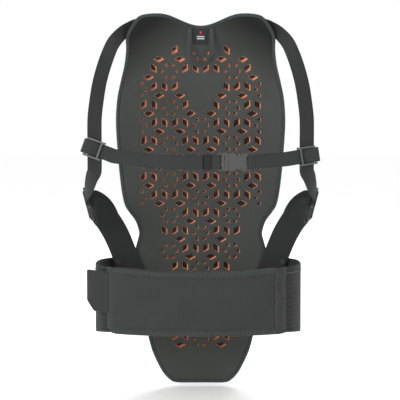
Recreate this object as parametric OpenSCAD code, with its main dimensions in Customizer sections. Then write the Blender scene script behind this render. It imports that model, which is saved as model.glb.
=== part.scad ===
// Back protector with shoulder straps, chest strap and kidney belt.
// The wearer stands at -Y, +Z is up, and the origin is the middle of the plate's body side.
// Left is -X and right is +X, as seen from the wearer's front.

/* [Plate] */
// Thickness of the perforated cover on the body side
inner_cover_t = 2.5; // [1.5:0.5:4]
// Thickness of the impact core
core_t = 11; // [8:1:14]
// Thickness of the outer cover
outer_cover_t = 3; // [2:0.5:5]
// How far the core stops short of the plate's edge
core_margin = 9; // [6:1:12]
// Width of the bound edge
binding_w = 2.2; // [1.5:0.1:3]
// How far the plate's sides curve forward at its widest
wrap_depth = 22; // [10:1:30]

/* [Webbing] */
// Width of the shoulder and chest webbing
web_w = 20; // [18:1:22]
// Thickness of the shoulder webbing
web_t = 1.6; // [1.2:0.1:2]
// Thickness of the chest webbing
chest_t = 1.3; // [1:0.1:1.4]
// Width of the elastic side straps
side_w = 38; // [34:1:40]
// Thickness of the elastic side straps
side_t = 1.6; // [1.2:0.1:2]

/* [Buckle] */
// Height of the buckle body
buckle_h = 25; // [24:0.5:27]
// Thickness of the buckle body
buckle_t = 8; // [7:0.5:9]

/* [Belt] */
// Half width of the belt loop
belt_a = 148; // [140:1:155]
// Half depth of the belt loop
belt_b = 92; // [92:1:95]
// Thickness of the elastic wings
wing_t = 3; // [2:0.5:3.5]
// Thickness of the padded front panel
front_t = 5; // [4:0.5:6]
// Lowest point of the belt
belt_low = -178; // [-182:1:-174]

/* [Hidden] */
$fn = 48;

plate_colour = "#3b3d3b";
core_colour = "#c8693a";
trim_colour = "#30393b";
web_colour = "#333735";
plastic_colour = "#5a5f5d";
patch_colour = "#242625";
gap = 0.3; // clearance between pieces of different bodies
skin_gap = 0.15; // clearance between sewn pieces of one body
edge_gap = 0.35; // clearance between the covers and the binding round them

// ---------- curves ----------

// Catmull-Rom curve through the points of list p, at u from 0 to len(p) - 1
function curve(p, u) =
    let (
        n = len(p) - 1,
        i = min(floor(u), n - 1),
        t = u - i,
        b = p[i],
        c = p[i + 1],
        a = i > 0 ? p[i - 1] : 2 * b - c,
        d = i < n - 1 ? p[i + 2] : 2 * c - b
    )
    0.5 * (2 * b + (c - a) * t + (2 * a - 5 * b + 4 * c - d) * t * t + (3 * b - a - 3 * c + d) * t * t * t);
function unit(v) = v / norm(v);
function smooth(t) = let (c = min(max(t, 0), 1)) c * c * (3 - 2 * c);

// Closed solid through rings of the same number of points, the second half of a ring running back
module loft(rings, closed = false) {
    k = len(rings[0]);
    n = len(rings);
    last = closed ? n - 1 : n - 2;
    side = [
        for (i = [0:last], j = [0:k - 1], h = [0, 1])
            let (
                a = i * k + j,
                b = i * k + (j + 1) % k,
                c = ((i + 1) % n) * k + (j + 1) % k,
                d = ((i + 1) % n) * k + j
            )
            h == 0 ? [a, b, c] : [a, c, d]
    ];
    half = k / 2;
    caps = closed ? [] : [
        for (e = [0, 1], j = [0:half - 2], h = [0, 1])
            let (
                o = e * (n - 1) * k,
                a = o + j,
                b = o + j + 1,
                c = o + k - 2 - j,
                d = o + k - 1 - j,
                t = h == 0 ? [a, c, b] : [a, d, c]
            )
            e == 0 ? t : [t[0], t[2], t[1]]
    ];
    polyhedron([for (r = rings) each r], concat(side, caps));
}

// ---------- plate ----------

// Bends of the back, as [height, depth]: sacrum, loin, ribs, shoulder blades and neck
spine = [[-280, 5], [-200, 1], [-120, -1], [-50, -2], [0, 0], [50, 4], [90, 8.5],
    [130, 10.5], [170, 6], [210, -3], [250, -15], [282, -27]];
// Right half of the plate's outline from the tail up to the shoulder, as [half width, height]
outline = [[32, -278.5], [43, -276], [54, -266], [63, -251], [73, -228], [79.5, -203], [87, -165],
    [93, -125], [98, -97], [98, -76], [94, -59], [92, -48], [97, -31], [106, -18], [113, -6], [117.5, 15],
    [121, 45], [124, 80], [126, 118], [124, 150], [119, 175], [113, 200], [110, 222], [109.5, 243],
    [102, 258], [93, 270], [84, 274.5], [70, 276.5]];
neck_dip = 17.5;
neck_half_w = 62;
plate_half_w = 125;
wrap_power = 2.7;
rim_t = inner_cover_t + outer_cover_t - 0.5;
outline_steps = 2;
cover_columns = 12;

function spine_y(z) =
    let (i = [for (k = [0:len(spine) - 2]) if (z >= spine[k][0] || k == 0) k])
    let (k = i[len(i) - 1])
    curve(spine, k + (z - spine[k][0]) / (spine[k + 1][0] - spine[k][0]))[1];
function face_y(x, z) = spine_y(z) - wrap_depth * pow(abs(x) / plate_half_w, wrap_power);
function neck_drop(x, z) =
    abs(x) < neck_half_w ? neck_dip * pow(cos(90 * x / neck_half_w), 2) * smooth((z - 140) / 136) : 0;
// Outline point number u, moved into the plate by inset
function rim(u, inset) =
    let (
        last = len(outline) - 1,
        a = curve(outline, max(u - 0.1, 0)),
        b = curve(outline, min(u + 0.1, last)),
        side = unit([-(b[1] - a[1]), b[0] - a[0]]),
        inward = u < 0.01 ? [0, 1] : u > last - 0.01 ? [0, -1] : side
    )
    curve(outline, u) + inset * inward;
rows = (len(outline) - 1) * outline_steps;
function row(i, inset) = rim(i / outline_steps, inset);
function cover_x(s, half_w) =
    abs(s) == cover_columns / 2 ? sign(s) * half_w
        : (half_w - core_margin) * s / (cover_columns / 2 - 1);
// One row of plate points at a depth that depends on whether the point lies on the rim
function cover_row(i, s_from, s_to, depth_in, depth_rim) = [
    for (s = [s_from:s_to])
        let (
            r = row(i, binding_w + edge_gap),
            x = cover_x(s, r[0]),
            z = r[1] - neck_drop(x, r[1]),
            at_rim = abs(s) == cover_columns / 2 || i < outline_steps || i > rows - outline_steps
        )
        [x, face_y(x, z) + (at_rim ? depth_rim : depth_in), z]
];
function reversed(p) = [for (i = [len(p) - 1:-1:0]) p[i]];
module plate_layer(i_from, i_to, s_half, front_in, front_rim, back_in, back_rim)
    loft([
        for (i = [i_from:i_to])
            concat(
                cover_row(i, -s_half, s_half, front_in, front_rim),
                reversed(cover_row(i, -s_half, s_half, back_in, back_rim))
            )
    ]);

core_back = inner_cover_t + core_t;
module inner_cover()
    color(plate_colour)
        plate_layer(0, rows, cover_columns / 2, 0, 0, inner_cover_t, inner_cover_t);
module impact_core()
    color(core_colour)
        plate_layer(outline_steps, rows - outline_steps, cover_columns / 2 - 1,
            inner_cover_t + skin_gap, inner_cover_t + skin_gap, core_back - skin_gap, core_back - skin_gap);
module outer_cover()
    color(patch_colour)
        plate_layer(0, rows, cover_columns / 2, core_back, inner_cover_t + skin_gap,
            core_back + outer_cover_t, rim_t);

// Closed outline, in order from the tail's right corner
edge_loop = let (top_steps = 8, w = outline[len(outline) - 1][0], h = outline[len(outline) - 1][1]) concat(
    [for (i = [0:rows]) row(i, 0)],
    [for (k = [1:top_steps - 1]) let (x = w * (1 - 2 * k / top_steps)) [x, h - neck_drop(x, h)]],
    [for (i = [rows:-1:0]) [-row(i, 0)[0], row(i, 0)[1]]]
);
module edge_binding() {
    n = len(edge_loop);
    rings = [
        for (i = [0:n - 1])
            let (
                p = edge_loop[i],
                q = unit(edge_loop[(i + 1) % n] - edge_loop[(i + n - 1) % n]),
                inward = [-q[1], q[0]],
                at = p + inward * binding_w,
                y = face_y(at[0], at[1]),
                lip = 0.6
            )
            [
                [at[0], y - lip, at[1]],
                [p[0] + inward[0] * 0.7, y - lip, p[1] + inward[1] * 0.7],
                [p[0], y + rim_t / 2, p[1]],
                [p[0] + inward[0] * 0.7, y + rim_t + lip, p[1] + inward[1] * 0.7],
                [at[0], y + rim_t + lip, at[1]],
                [at[0], y + rim_t / 2, at[1]]
            ]
    ];
    color(trim_colour) loft(rings, true);
}

// Raised panel down the middle of the outer cover
spine_panel_half_w = 26;
spine_panel_t = 2.5;
spine_panel_low = -60;
spine_panel_high = 215;
module spine_panel() {
    columns = 3;
    steps = 22;
    rings = [
        for (i = [0:steps])
            let (
                u = i / steps,
                z = spine_panel_low + (spine_panel_high - spine_panel_low) * u,
                w = spine_panel_half_w * pow(max(sin(180 * u), 0.06), 0.35)
            )
            concat(
                [for (s = [-columns:columns]) let (x = w * s / columns)
                    [x, face_y(x, z) + core_back + outer_cover_t + skin_gap, z]],
                [for (s = [columns:-1:-columns]) let (x = w * s / columns)
                    [x, face_y(x, z) + core_back + outer_cover_t + skin_gap
                        + (abs(s) == columns ? 1 : spine_panel_t), z]]
            )
    ];
    color(plate_colour) loft(rings);
}

// ---------- webbing ----------

// Flat band along a route of [middle, direction across the band] entries
module band(route, width, thickness, steps = 3) {
    middles = [for (r = route) r[0]];
    acrosses = [for (r = route) r[1]];
    n = (len(route) - 1) * steps;
    rings = [
        for (i = [0:n])
            let (
                u = i / steps,
                m = curve(middles, u),
                after = curve(middles, min(u + 0.02, len(route) - 1)),
                before = curve(middles, max(u - 0.02, 0)),
                along = unit(after - before),
                w = curve(acrosses, u),
                across = unit(w - (w * along) * along),
                through = cross(along, across)
            )
            [
                m - across * width / 2 - through * thickness / 2,
                m + across * width / 2 - through * thickness / 2,
                m + across * width / 2 + through * thickness / 2,
                m - across * width / 2 + through * thickness / 2
            ]
    ];
    loft(rings);
}
module both_sides(right) {
    if (right) mirror([1, 0, 0]) children();
    else children();
}

// Side adjuster: its place, and its directions across, along the strap and out from the body
adjuster_at = [-161, -94, 3];
adjuster_along = unit([0.08, 0.77, -0.63]);
adjuster_hint = [0.25, -0.62, -0.74];
adjuster_across = unit(adjuster_hint - (adjuster_hint * adjuster_along) * adjuster_along);
adjuster_out = cross(adjuster_along, adjuster_across);
adjuster_w = 46;
adjuster_l = 28;
adjuster_t = 5;
bar_r = 1.9;
fixed_bar = adjuster_l / 2 - 2.6;
module at_adjuster()
    multmatrix([
        [adjuster_across[0], adjuster_along[0], adjuster_out[0], adjuster_at[0]],
        [adjuster_across[1], adjuster_along[1], adjuster_out[1], adjuster_at[1]],
        [adjuster_across[2], adjuster_along[2], adjuster_out[2], adjuster_at[2]],
        [0, 0, 0, 1]
    ])
        children();
function adjuster_point(x, y, z) =
    adjuster_at + x * adjuster_across + y * adjuster_along + z * adjuster_out;

// Left shoulder strap, from the outer face of the plate over the shoulder to the side adjuster
strap_x = -147.5;
strap_y = -148;
shoulder_route = [
    [[-38, 3.5, 246], [0.1, 0.31, -1]],
    [[-70, -4.8, 261], [0.1, 0.35, -1]],
    [[-93, -9.6, 260], [0.25, 0.35, -1]],
    [[-105, -13.2, 255], [0.4, 0.33, -0.9]],
    [[-116, -24, 247], [0.5, 0.25, -0.84]],
    [[-126, -52, 233], [0.75, 0.15, -0.6]],
    [[-132, -80, 216], [0.88, 0.1, -0.45]],
    [[-138, -107, 193], [0.96, 0, -0.25]],
    [[-142.5, -126, 170], [1, 0, -0.12]],
    [[-145.5, -140, 145], [1, 0, -0.06]],
    [[-147.1, -146.6, 127], [1, 0, -0.02]],
    [[strap_x, strap_y, 114], [1, 0, 0]],
    [[strap_x, strap_y, 98], [1, 0, 0]],
    [[strap_x, strap_y, 66], [1, 0, 0]],
    [[strap_x, strap_y, 57], [1, 0, 0]],
    [[-148.2, -147, 49], [0.98, -0.12, -0.1]],
    [[-152, -141, 42], [0.85, -0.4, -0.35]],
    [[-157.5, -126, 27], [0.6, -0.6, -0.53]],
    [adjuster_point(0, -adjuster_l / 2 - 5.8, 0.2), adjuster_across]
];
module shoulder_strap(right)
    color(web_colour)
        both_sides(right) band(shoulder_route, web_w, web_t, 4);

// Sewn patch that holds the shoulder strap's end to the outer cover
module shoulder_anchor(right)
    color(patch_colour)
        both_sides(right)
            band([
                [[-26, 6.9, 240], [0.1, 0.3, -1]],
                [[-40, 5.3, 247], [0.1, 0.31, -1]],
                [[-66, -1.6, 259.5], [0.1, 0.34, -1]]
            ], web_w + 6, web_t, 4);

module adjuster_outline()
    hull()
        for (x = [-1, 1]) {
            translate([x * (adjuster_w / 2 - 3), adjuster_l / 2 - 3]) circle(3);
            translate([x * (adjuster_w / 2 - 7), 3 - adjuster_l / 2]) circle(3);
        }
slot_in = side_w / 2 + 0.6;
module side_adjuster(right)
    color(plastic_colour)
        both_sides(right)
            at_adjuster() {
                difference() {
                    linear_extrude(adjuster_t, center = true) adjuster_outline();
                    translate([0, fixed_bar, 0]) cube([2 * slot_in, 9, 20], center = true);
                    translate([0, 1.4, 0]) cube([web_w + 1.6, 3.4, 20], center = true);
                    translate([0, -6.6, 0]) cube([web_w + 1.6, 4.2, 20], center = true);
                    translate([0, -2.6, 2.8]) cube([web_w + 1.6, 8.6, 2.6], center = true);
                }
                translate([0, fixed_bar, 0])
                    rotate([0, 90, 0]) cylinder(h = 2 * slot_in + 1, r = bar_r, center = true);
            }
// End of the shoulder webbing, laced over the adjuster's middle bar
module strap_end(right)
    color(web_colour)
        both_sides(right)
            band([
                [adjuster_point(0, -adjuster_l / 2 - 3.7, 0.4), adjuster_across],
                [adjuster_point(0, -adjuster_l / 2 - 0.9, 3.2), adjuster_across],
                [adjuster_point(0, -8.8, 3.6), adjuster_across],
                [adjuster_point(0, -2.6, 2.9), adjuster_across],
                [adjuster_point(0, 0.9, 2.7), adjuster_across],
                [adjuster_point(0, 2.2, 0), adjuster_across],
                [adjuster_point(0, 1, -3.6), adjuster_across],
                [adjuster_point(0, -4, -4.4), adjuster_across],
                [adjuster_point(0, -16, -4.6), adjuster_across]
            ], web_w - 0.6, 1.1, 4);

// Elastic side strap, from its loop round the adjuster's bar down to the plate's waist
loop_r = 3.3;
function loop_point(angle) = adjuster_point(0, fixed_bar - loop_r * sin(angle), loop_r * cos(angle));
side_route = concat(
    [
        [adjuster_point(0, fixed_bar + 10, -1.7), adjuster_across],
        [adjuster_point(0, fixed_bar + 5.5, 0.6), adjuster_across]
    ],
    [for (angle = [-18:33:180]) [loop_point(angle), adjuster_across]],
    [
        [adjuster_point(0, fixed_bar + 4.5, -loop_r - 0.5), adjuster_across],
        [adjuster_point(-1, fixed_bar + 10.5, -loop_r - 1.8), [0.15, -0.62, -0.74]],
        [[-152, -63, -10], [-0.3, -0.52, -0.72]],
        [[-145.5, -51, -15.5], [-0.6, -0.45, -0.65]],
        [[-136, -38.5, -28.5], [-0.75, -0.35, -0.56]],
        [[-124.5, -29.5, -50], [-0.82, -0.26, -0.51]],
        [[-115, -23.6, -74], [-0.84, -0.27, -0.47]],
        [[-106, -19.6, -98], [-0.9, -0.28, -0.35]],
        [[-98, -17.5, -120], [-0.93, -0.28, -0.25]]
    ]
);
module side_strap(right)
    color(web_colour)
        both_sides(right) band(side_route, side_w, side_t, 3);

// Rivets at the outer corner of each side strap
rivet_at = [-122.6, -25.6, -90];
rivet_axis = unit([0.3, -0.93, 0]);
module strap_rivets()
    color(plastic_colour)
        for (right = [false, true])
            both_sides(right)
                for (side = [1, -1])
                    translate(rivet_at + rivet_axis * side * (side_t / 2 + 0.4))
                        rotate([90 * side, 0, 18])
                            cylinder(h = 1.2, r = 3.4);

// ---------- belt ----------

belt_centre_y = -71.2;
belt_power = 2.5;
// The belt hangs a little to the wearer's right, which is the left in front view
belt_shift = -3.5;
wing_high = -85;
wing_low = belt_low - 8;
front_high = -88;
// Point of the belt loop at an angle from the middle of the back, moved outward by off
function belt_point(angle, off) = [
    belt_shift + (belt_a + off) * sign(sin(angle)) * pow(abs(sin(angle)), 2 / belt_power),
    belt_centre_y + (belt_b + off) * sign(cos(angle)) * pow(abs(cos(angle)), 2 / belt_power)
];
module belt_strip(from, to, off_in, off_out, low, high, step = 4) {
    n = ceil((to - from) / step);
    angles = [for (i = [0:n]) from + (to - from) * i / n];
    translate([0, 0, low])
        linear_extrude(high - low)
            polygon(concat(
                [for (a = angles) belt_point(a, off_out)],
                [for (a = reversed(angles)) belt_point(a, off_in)]
            ));
}
back_half_angle = 36;
join_from = 140;
join_to = 128.5;
front_from = 140.4;
front_to = 233;
wing_left_to = 216;
wing_right_to = 137;
tab_to = 256;
wing_off = wing_t / 2;
front_in = wing_off + 1.5;

module belt_back_panel()
    color(patch_colour)
        belt_strip(-back_half_angle, back_half_angle, -wing_off, wing_off + 2, wing_low, wing_high);
// Wing between two angles; its lower edge rises to the front panel's as it comes forward
module wing(from, to)
    color(web_colour)
        intersection() {
            belt_strip(from, to, -wing_off, wing_off, wing_low, wing_high);
            translate([200, 0, 0])
                rotate([90, 0, -90])
                    linear_extrude(400)
                        polygon([
                            [-40, wing_low - 1], [72, wing_low], [150, belt_low + 2], [180, belt_low + 2],
                            [180, wing_high + 1], [-40, wing_high + 1]
                        ]);
        }
module belt_wing_left() wing(wing_left_to, 360 - back_half_angle - 0.15);
module belt_wing_right() wing(back_half_angle + 0.15, wing_right_to);
module belt_join_strip()
    color(trim_colour)
        belt_strip(join_to, join_from, wing_off + skin_gap, front_in + front_t + 0.5, belt_low, wing_high);
module loop_patch()
    color(patch_colour)
        belt_strip(218, 252, wing_off + skin_gap, wing_off + 1.1, belt_low + 20, front_high - 6);
// Height of the front panel narrows a little towards its free end
module belt_front_panel()
    color(plate_colour)
        difference() {
            belt_strip(front_from, front_to, front_in, front_in + front_t, belt_low, front_high);
            translate(concat(belt_point(front_to, front_in), belt_low + 18))
                rotate([0, 0, -38]) rotate([0, 45, 0]) cube([9, 60, 9], center = true);
        }
// Stiff hook tab that carries on from the front panel and stands off the wing
tab_stand_off = 9.5;
module hook_tab() {
    angles = [for (i = [0:6]) front_to + 0.3 + (tab_to - front_to) * i / 6];
    function lift(a) = front_in + 0.3 + tab_stand_off * pow((a - front_to) / (tab_to - front_to), 1.6);
    color(patch_colour)
        intersection() {
            translate([0, 0, belt_low])
                linear_extrude(front_high - belt_low - 2)
                    polygon(concat(
                        [for (a = angles) belt_point(a, lift(a) + 3)],
                        [for (a = reversed(angles)) belt_point(a, lift(a))]
                    ));
            // Chamfered end as seen from the side
            translate([-100, 0, 0])
                rotate([90, 0, -90])
                    linear_extrude(120)
                        polygon([
                            [150, -150], [118, -150], [104, -134], [96, -94], [110, -91.5], [150, -91.5]
                        ]);
        }
}

// ---------- chest strap ----------

slider_at = [[-147.5, strap_y, 81.5], [147.5, strap_y, 72]];
slider_tilt = [20, 9];
chest_y = -163.85;
chest_z = 64;
tail_y = chest_y + chest_t + 0.35;

// Point of a slider's own frame: u towards the middle, v up, both turned by the slider's tilt
function slider_point(side, u, y) =
    let (a = slider_tilt[side], m = side == 0 ? 1 : -1)
    slider_at[side] + [m * u * cos(a), 0, -u * sin(a)] + [0, y - strap_y, 0];
function slider_up(side) = let (a = slider_tilt[side], m = side == 0 ? 1 : -1) [m * sin(a), 0, cos(a)];
// The sewn loop round the shoulder strap, from the middle outward and back
loop_path = [[29, -150.5], [20, -150.1], [9, -149.9], [4, -150.2], [-1, -151.2], [-6, -152.5], [-11, -152.7],
    [-15.5, -151.4], [-17, -148.9], [-15.6, -146.6], [-11, -145.6], [0, -145.4], [11, -145.5], [18, -146.6],
    [23, -148.2], [29, -148.8]];
function chest_loop(side) = [for (p = loop_path) [slider_point(side, p[0], p[1]), slider_up(side)]];

module chest_strap_left()
    color(web_colour)
        band(concat([
            [[3.5, chest_y, chest_z], [0, 0, 1]],
            [[-20, chest_y, chest_z], [0, 0, 1]],
            [[-46, chest_y, chest_z], [0, 0, 1]],
            [[-66, -162.4, chest_z + 1], [0, 0, 1]],
            [[-88, -158, chest_z + 3.6], [0.07, 0, 1]],
            [[-106, -153.6, chest_z + 5.8], [0.2, 0, 1]]
        ], chest_loop(0)), web_w, chest_t, 4);
module chest_strap_right()
    color(web_colour)
        band(concat([
            [[65.4, -158.6, chest_z], [0, 0, 1]],
            [[65.4, -161.6, chest_z], [0, 0, 1]],
            [[66.6, -163.5, chest_z], [0, 0, 1]],
            [[69, -164, chest_z], [0, 0, 1]],
            [[72.5, -163.2, chest_z], [0, 0, 1]],
            [[80, -161.2, chest_z + 0.6], [0, 0, 1]],
            [[94, -157.5, chest_z + 2], [-0.04, 0, 1]],
            [[107, -153.8, chest_z + 2.6], [-0.1, 0, 1]]
        ], chest_loop(1)), web_w, chest_t, 4);

frame_half_h = web_w / 2 + 3;
module chest_slider(side) {
    m = side == 0 ? 1 : -1;
    inner_bar_x = 7.2;
    outer_bar_x = -10.6;
    color(plastic_colour)
        translate(slider_at[side])
            rotate([0, m * slider_tilt[side], 0])
                rotate([90, 0, 0])
                    mirror([side, 0, 0]) {
                        for (v = [-1, 1]) {
                            translate([-1, v * (frame_half_h - 1.2), 3.6])
                                cube([24.5, 2.4, 4.4], center = true);
                            // Hooked horns beyond the inner bar
                            translate([11, v * (frame_half_h - 1.2), 3.6])
                                cylinder(h = 4.4, r = 1.7, center = true);
                        }
                        translate([inner_bar_x, 0, 4.4])
                            cube([2.4, 2 * frame_half_h - 1, 2.8], center = true);
                        translate([outer_bar_x, 0, 2.6]) cube([2.2, 2 * frame_half_h - 1, 2], center = true);
                    }
}

// ---------- buckle ----------

buckle_y = -160;
plug_x = 24.2;
mouth_x = 38.4;
socket_end = 61.6;
end_x = 69;
wall_t = 1.7;
bore_h = buckle_h / 2 - 2.4;
// Block in buckle axes: from x0 to x1, from z0 to z1 and t thick about the buckle's middle
module block(x0, x1, z0, z1, t)
    translate([x0, buckle_y - t / 2, chest_z + z0]) cube([x1 - x0, t, z1 - z0]);
module round_block(x0, x1, half_h, t, r = 2.5)
    translate([0, buckle_y + t / 2, chest_z])
        rotate([90, 0, 0])
            linear_extrude(t)
                hull()
                    for (x = [x0 + r, x1 - r], z = [r - half_h, half_h - r])
                        translate([x, z]) circle(r);

module buckle_socket()
    color(plastic_colour)
        difference() {
            union() {
                round_block(mouth_x, socket_end + 1, buckle_h / 2, buckle_t, 2);
                round_block(socket_end - 2, end_x, buckle_h / 2 + 0.3, buckle_t - 3, 1.6);
            }
            block(mouth_x - 1, socket_end - 2.6, -bore_h, bore_h, buckle_t - 2 * wall_t);
            // Side windows where the latch heads are pressed
            for (s = [-1, 1])
                translate([52.4, buckle_y, chest_z + s * (buckle_h / 2 + 1.2)])
                    rotate([90, 0, 0]) cylinder(h = 20, r = 5.4, center = true);
            // Slot for the webbing
            block(63.8, 67, -web_w / 2 - 0.5, web_w / 2 + 0.5, 20);
        }

module buckle_plug()
    color(plastic_colour) {
        difference() {
            round_block(plug_x, mouth_x - gap, buckle_h / 2 - 0.3, buckle_t - 3, 1.6);
            block(26.5, 29.1, -web_w / 2 - 0.5, web_w / 2 + 0.5, 20);
            block(32.4, 33.4, -web_w / 2 - 0.5, web_w / 2 + 0.5, 20);
            // Recess where the webbing lies over the first bar
            translate([plug_x - 1, tail_y - 1.1, chest_z - web_w / 2 - 0.5]) cube([4, 2.7, web_w + 1]);
        }
        // Guide tongue, joined to the base
        block(mouth_x - 1.3, 56.6, -1.8, 1.8, latch_t);
    }

// Springy arm of the plug, with a hair of room at its root so that it can turn
latch_root = [mouth_x + 1.5, 6.2];
latch_t = 3.6;
module buckle_latch(s)
    color(plastic_colour)
        translate([0, buckle_y + latch_t / 2, chest_z])
            rotate([90, 0, 0]) {
                translate([latch_root[0], s * latch_root[1]]) cylinder(h = latch_t, r = 1.5);
                linear_extrude(latch_t)
                    hull_chain([
                        [latch_root[0] + 0.6, s * latch_root[1], 0.9],
                        [46, s * 7.2, 1.1],
                        [50, s * 7.9, 1.6],
                        [53.5, s * 7.8, 2],
                        [57, s * 5.9, 1.1]
                    ]);
            }
module hull_chain(discs)
    for (i = [0:len(discs) - 2])
        hull()
            for (d = [discs[i], discs[i + 1]])
                translate([d[0], d[1]]) circle(d[2], $fn = 24);

// Free end of the left webbing, laced through the plug and laid behind the strap
module chest_strap_tail()
    color(web_colour)
        band([
            [[-24, tail_y, chest_z], [0, 0, 1]],
            [[0, tail_y, chest_z], [0, 0, 1]],
            [[20, tail_y, chest_z], [0, 0, 1]],
            [[25.4, tail_y, chest_z], [0, 0, 1]],
            [[27.8, buckle_y - 0.4, chest_z], [0, 0, 1]]
        ], web_w, chest_t, 4);
module strap_keeper() {
    x0 = 4.2;
    inner = [chest_y - chest_t / 2 - gap, tail_y + chest_t / 2 + gap];
    color(patch_colour)
        difference() {
            translate([x0, inner[0] - 1, chest_z - web_w / 2 - gap - 1])
                cube([9, inner[1] - inner[0] + 2, web_w + 2 * gap + 2]);
            translate([x0 - 1, inner[0], chest_z - web_w / 2 - gap])
                cube([11, inner[1] - inner[0], web_w + 2 * gap]);
        }
}

// ---------- neck ----------

label_half_w = 11.7;
module neck_label() {
    steps = 4;
    rings = [
        for (i = [0:steps])
            let (z = 231 + 24 * i / steps)
            concat(
                [for (x = [-label_half_w, 0, label_half_w]) [x, face_y(x, z) - 1.1, z]],
                [for (x = [label_half_w, 0, -label_half_w]) [x, face_y(x, z) - skin_gap, z]]
            )
    ];
    color("#4a2326") loft(rings);
}
hang_w = 6.5;
hang_t = 1;
hang_top = 256;
hang_y = face_y(16, hang_top) - 1.2;
module hang_loop()
    color(web_colour)
        band([
            [[-16, hang_y, hang_top], [1, 0, 0]],
            [[-17, hang_y - 0.4, 236], [1, 0, 0]],
            [[-18.3, hang_y - 0.8, 217], [1, -0.3, 0]],
            [[-12, hang_y - 1.4, 204], [0.5, -1, 0.2]],
            [[0, hang_y - 2, 197], [0, -1, 0]],
            [[12, hang_y - 1.4, 204], [-0.5, -1, -0.2]],
            [[18.3, hang_y - 0.8, 217], [-1, -0.3, 0]],
            [[17, hang_y - 0.4, 236], [-1, 0, 0]],
            [[16, hang_y, hang_top], [-1, 0, 0]]
        ], hang_w, hang_t, 4);

inner_cover();
impact_core();
outer_cover();
edge_binding();
spine_panel();
shoulder_anchor(false);  // shoulder_anchor_left
shoulder_anchor(true);  // shoulder_anchor_right
shoulder_strap(false);  // shoulder_strap_left
shoulder_strap(true);  // shoulder_strap_right
side_adjuster(false);  // side_adjuster_left
side_adjuster(true);  // side_adjuster_right
strap_end(false);  // strap_end_left
strap_end(true);  // strap_end_right
side_strap(false);  // side_strap_left
side_strap(true);  // side_strap_right
strap_rivets();
belt_back_panel();
belt_wing_left();
belt_wing_right();
belt_join_strip();
loop_patch();
belt_front_panel();
hook_tab();
chest_strap_left();
chest_strap_right();
chest_slider(0);  // chest_slider_left
chest_slider(1);  // chest_slider_right
buckle_socket();
buckle_plug();
buckle_latch(1);  // buckle_latch_upper
buckle_latch(-1);  // buckle_latch_lower
chest_strap_tail();
strap_keeper();
neck_label();
hang_loop();
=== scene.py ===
"""Looks of the back protector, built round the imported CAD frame.

Lengths are in millimetres until a mesh is made."""

import math

import bpy
import numpy as np
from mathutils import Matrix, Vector, kdtree
from mathutils.geometry import delaunay_2d_cdt


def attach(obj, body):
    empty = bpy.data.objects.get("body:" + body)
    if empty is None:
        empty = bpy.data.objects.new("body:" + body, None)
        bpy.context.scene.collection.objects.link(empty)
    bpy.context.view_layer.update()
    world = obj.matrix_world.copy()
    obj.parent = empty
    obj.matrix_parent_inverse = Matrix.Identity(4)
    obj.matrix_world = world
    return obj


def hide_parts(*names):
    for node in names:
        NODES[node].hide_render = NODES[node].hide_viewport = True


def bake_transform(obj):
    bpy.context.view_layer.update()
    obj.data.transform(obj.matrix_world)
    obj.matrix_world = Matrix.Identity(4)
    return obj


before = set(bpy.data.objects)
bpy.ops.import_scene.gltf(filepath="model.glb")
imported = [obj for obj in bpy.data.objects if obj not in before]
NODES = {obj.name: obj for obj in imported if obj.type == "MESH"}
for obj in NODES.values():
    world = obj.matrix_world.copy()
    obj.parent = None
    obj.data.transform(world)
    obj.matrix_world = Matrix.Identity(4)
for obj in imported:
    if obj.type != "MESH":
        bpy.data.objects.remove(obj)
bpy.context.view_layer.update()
MM = 0.001

# ---------- curves, shared with the CAD source ----------


def curve(points, u):
    """Catmull-Rom curve through the points, at the values u."""
    p = np.asarray(points, float)
    n = len(p) - 1
    u = np.atleast_1d(np.asarray(u, float))
    i = np.clip(np.floor(u).astype(int), 0, n - 1)
    t = (u - i)[:, None]
    b, c = p[i], p[i + 1]
    a = np.where((i > 0)[:, None], p[np.maximum(i - 1, 0)], 2 * b - c)
    d = np.where((i < n - 1)[:, None], p[np.minimum(i + 2, n)], 2 * c - b)
    return 0.5 * (2 * b + (c - a) * t + (2 * a - 5 * b + 4 * c - d) * t**2 + (3 * b - a - 3 * c + d) * t**3)


def unit(v):
    v = np.asarray(v, float)
    return v / np.maximum(np.linalg.norm(v, axis=-1, keepdims=True), 1e-12)


SPINE = [(-280, 5), (-200, 1), (-120, -1), (-50, -2), (0, 0), (50, 4), (90, 8.5), (130, 10.5), (170, 6),
         (210, -3), (250, -15), (282, -27)]
OUTLINE = [(32, -278.5), (43, -276), (54, -266), (63, -251), (73, -228), (79.5, -203), (87, -165), (93, -125),
           (98, -97), (98, -76), (94, -59), (92, -48), (97, -31), (106, -18), (113, -6), (117.5, 15),
           (121, 45), (124, 80), (126, 118), (124, 150), (119, 175), (113, 200), (110, 222), (109.5, 243),
           (102, 258), (93, 270), (84, 274.5), (70, 276.5)]
BINDING_W = 2.2
OUTER_BACK = 16.5
RIM_T = 5.0
SIDE_SWEEP, HALF_W = 22, 125  # the plate's sides lie this far forward of its spine, at this half width
NECK_HALF, NECK_DEPTH = 62, 17.5


def smooth(t):
    c = np.clip(t, 0, 1)
    return c * c * (3 - 2 * c)


def spine_y(z):
    heights = np.array([s[0] for s in SPINE], float)
    z = np.asarray(z, float)
    k = np.clip(np.searchsorted(heights, z, side="right") - 1, 0, len(SPINE) - 2)
    u = k + (z - heights[k]) / (heights[k + 1] - heights[k])
    return curve(SPINE, u.ravel())[:, 1].reshape(z.shape)


def face_y(x, z):
    """Depth of the plate's body side."""
    return spine_y(z) - SIDE_SWEEP * (np.abs(x) / HALF_W) ** 2.7


def face_slope(x, z):
    h = 0.5
    return ((face_y(x + h, z) - face_y(x - h, z)) / (2 * h), (face_y(x, z + h) - face_y(x, z - h)) / (2 * h))


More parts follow.
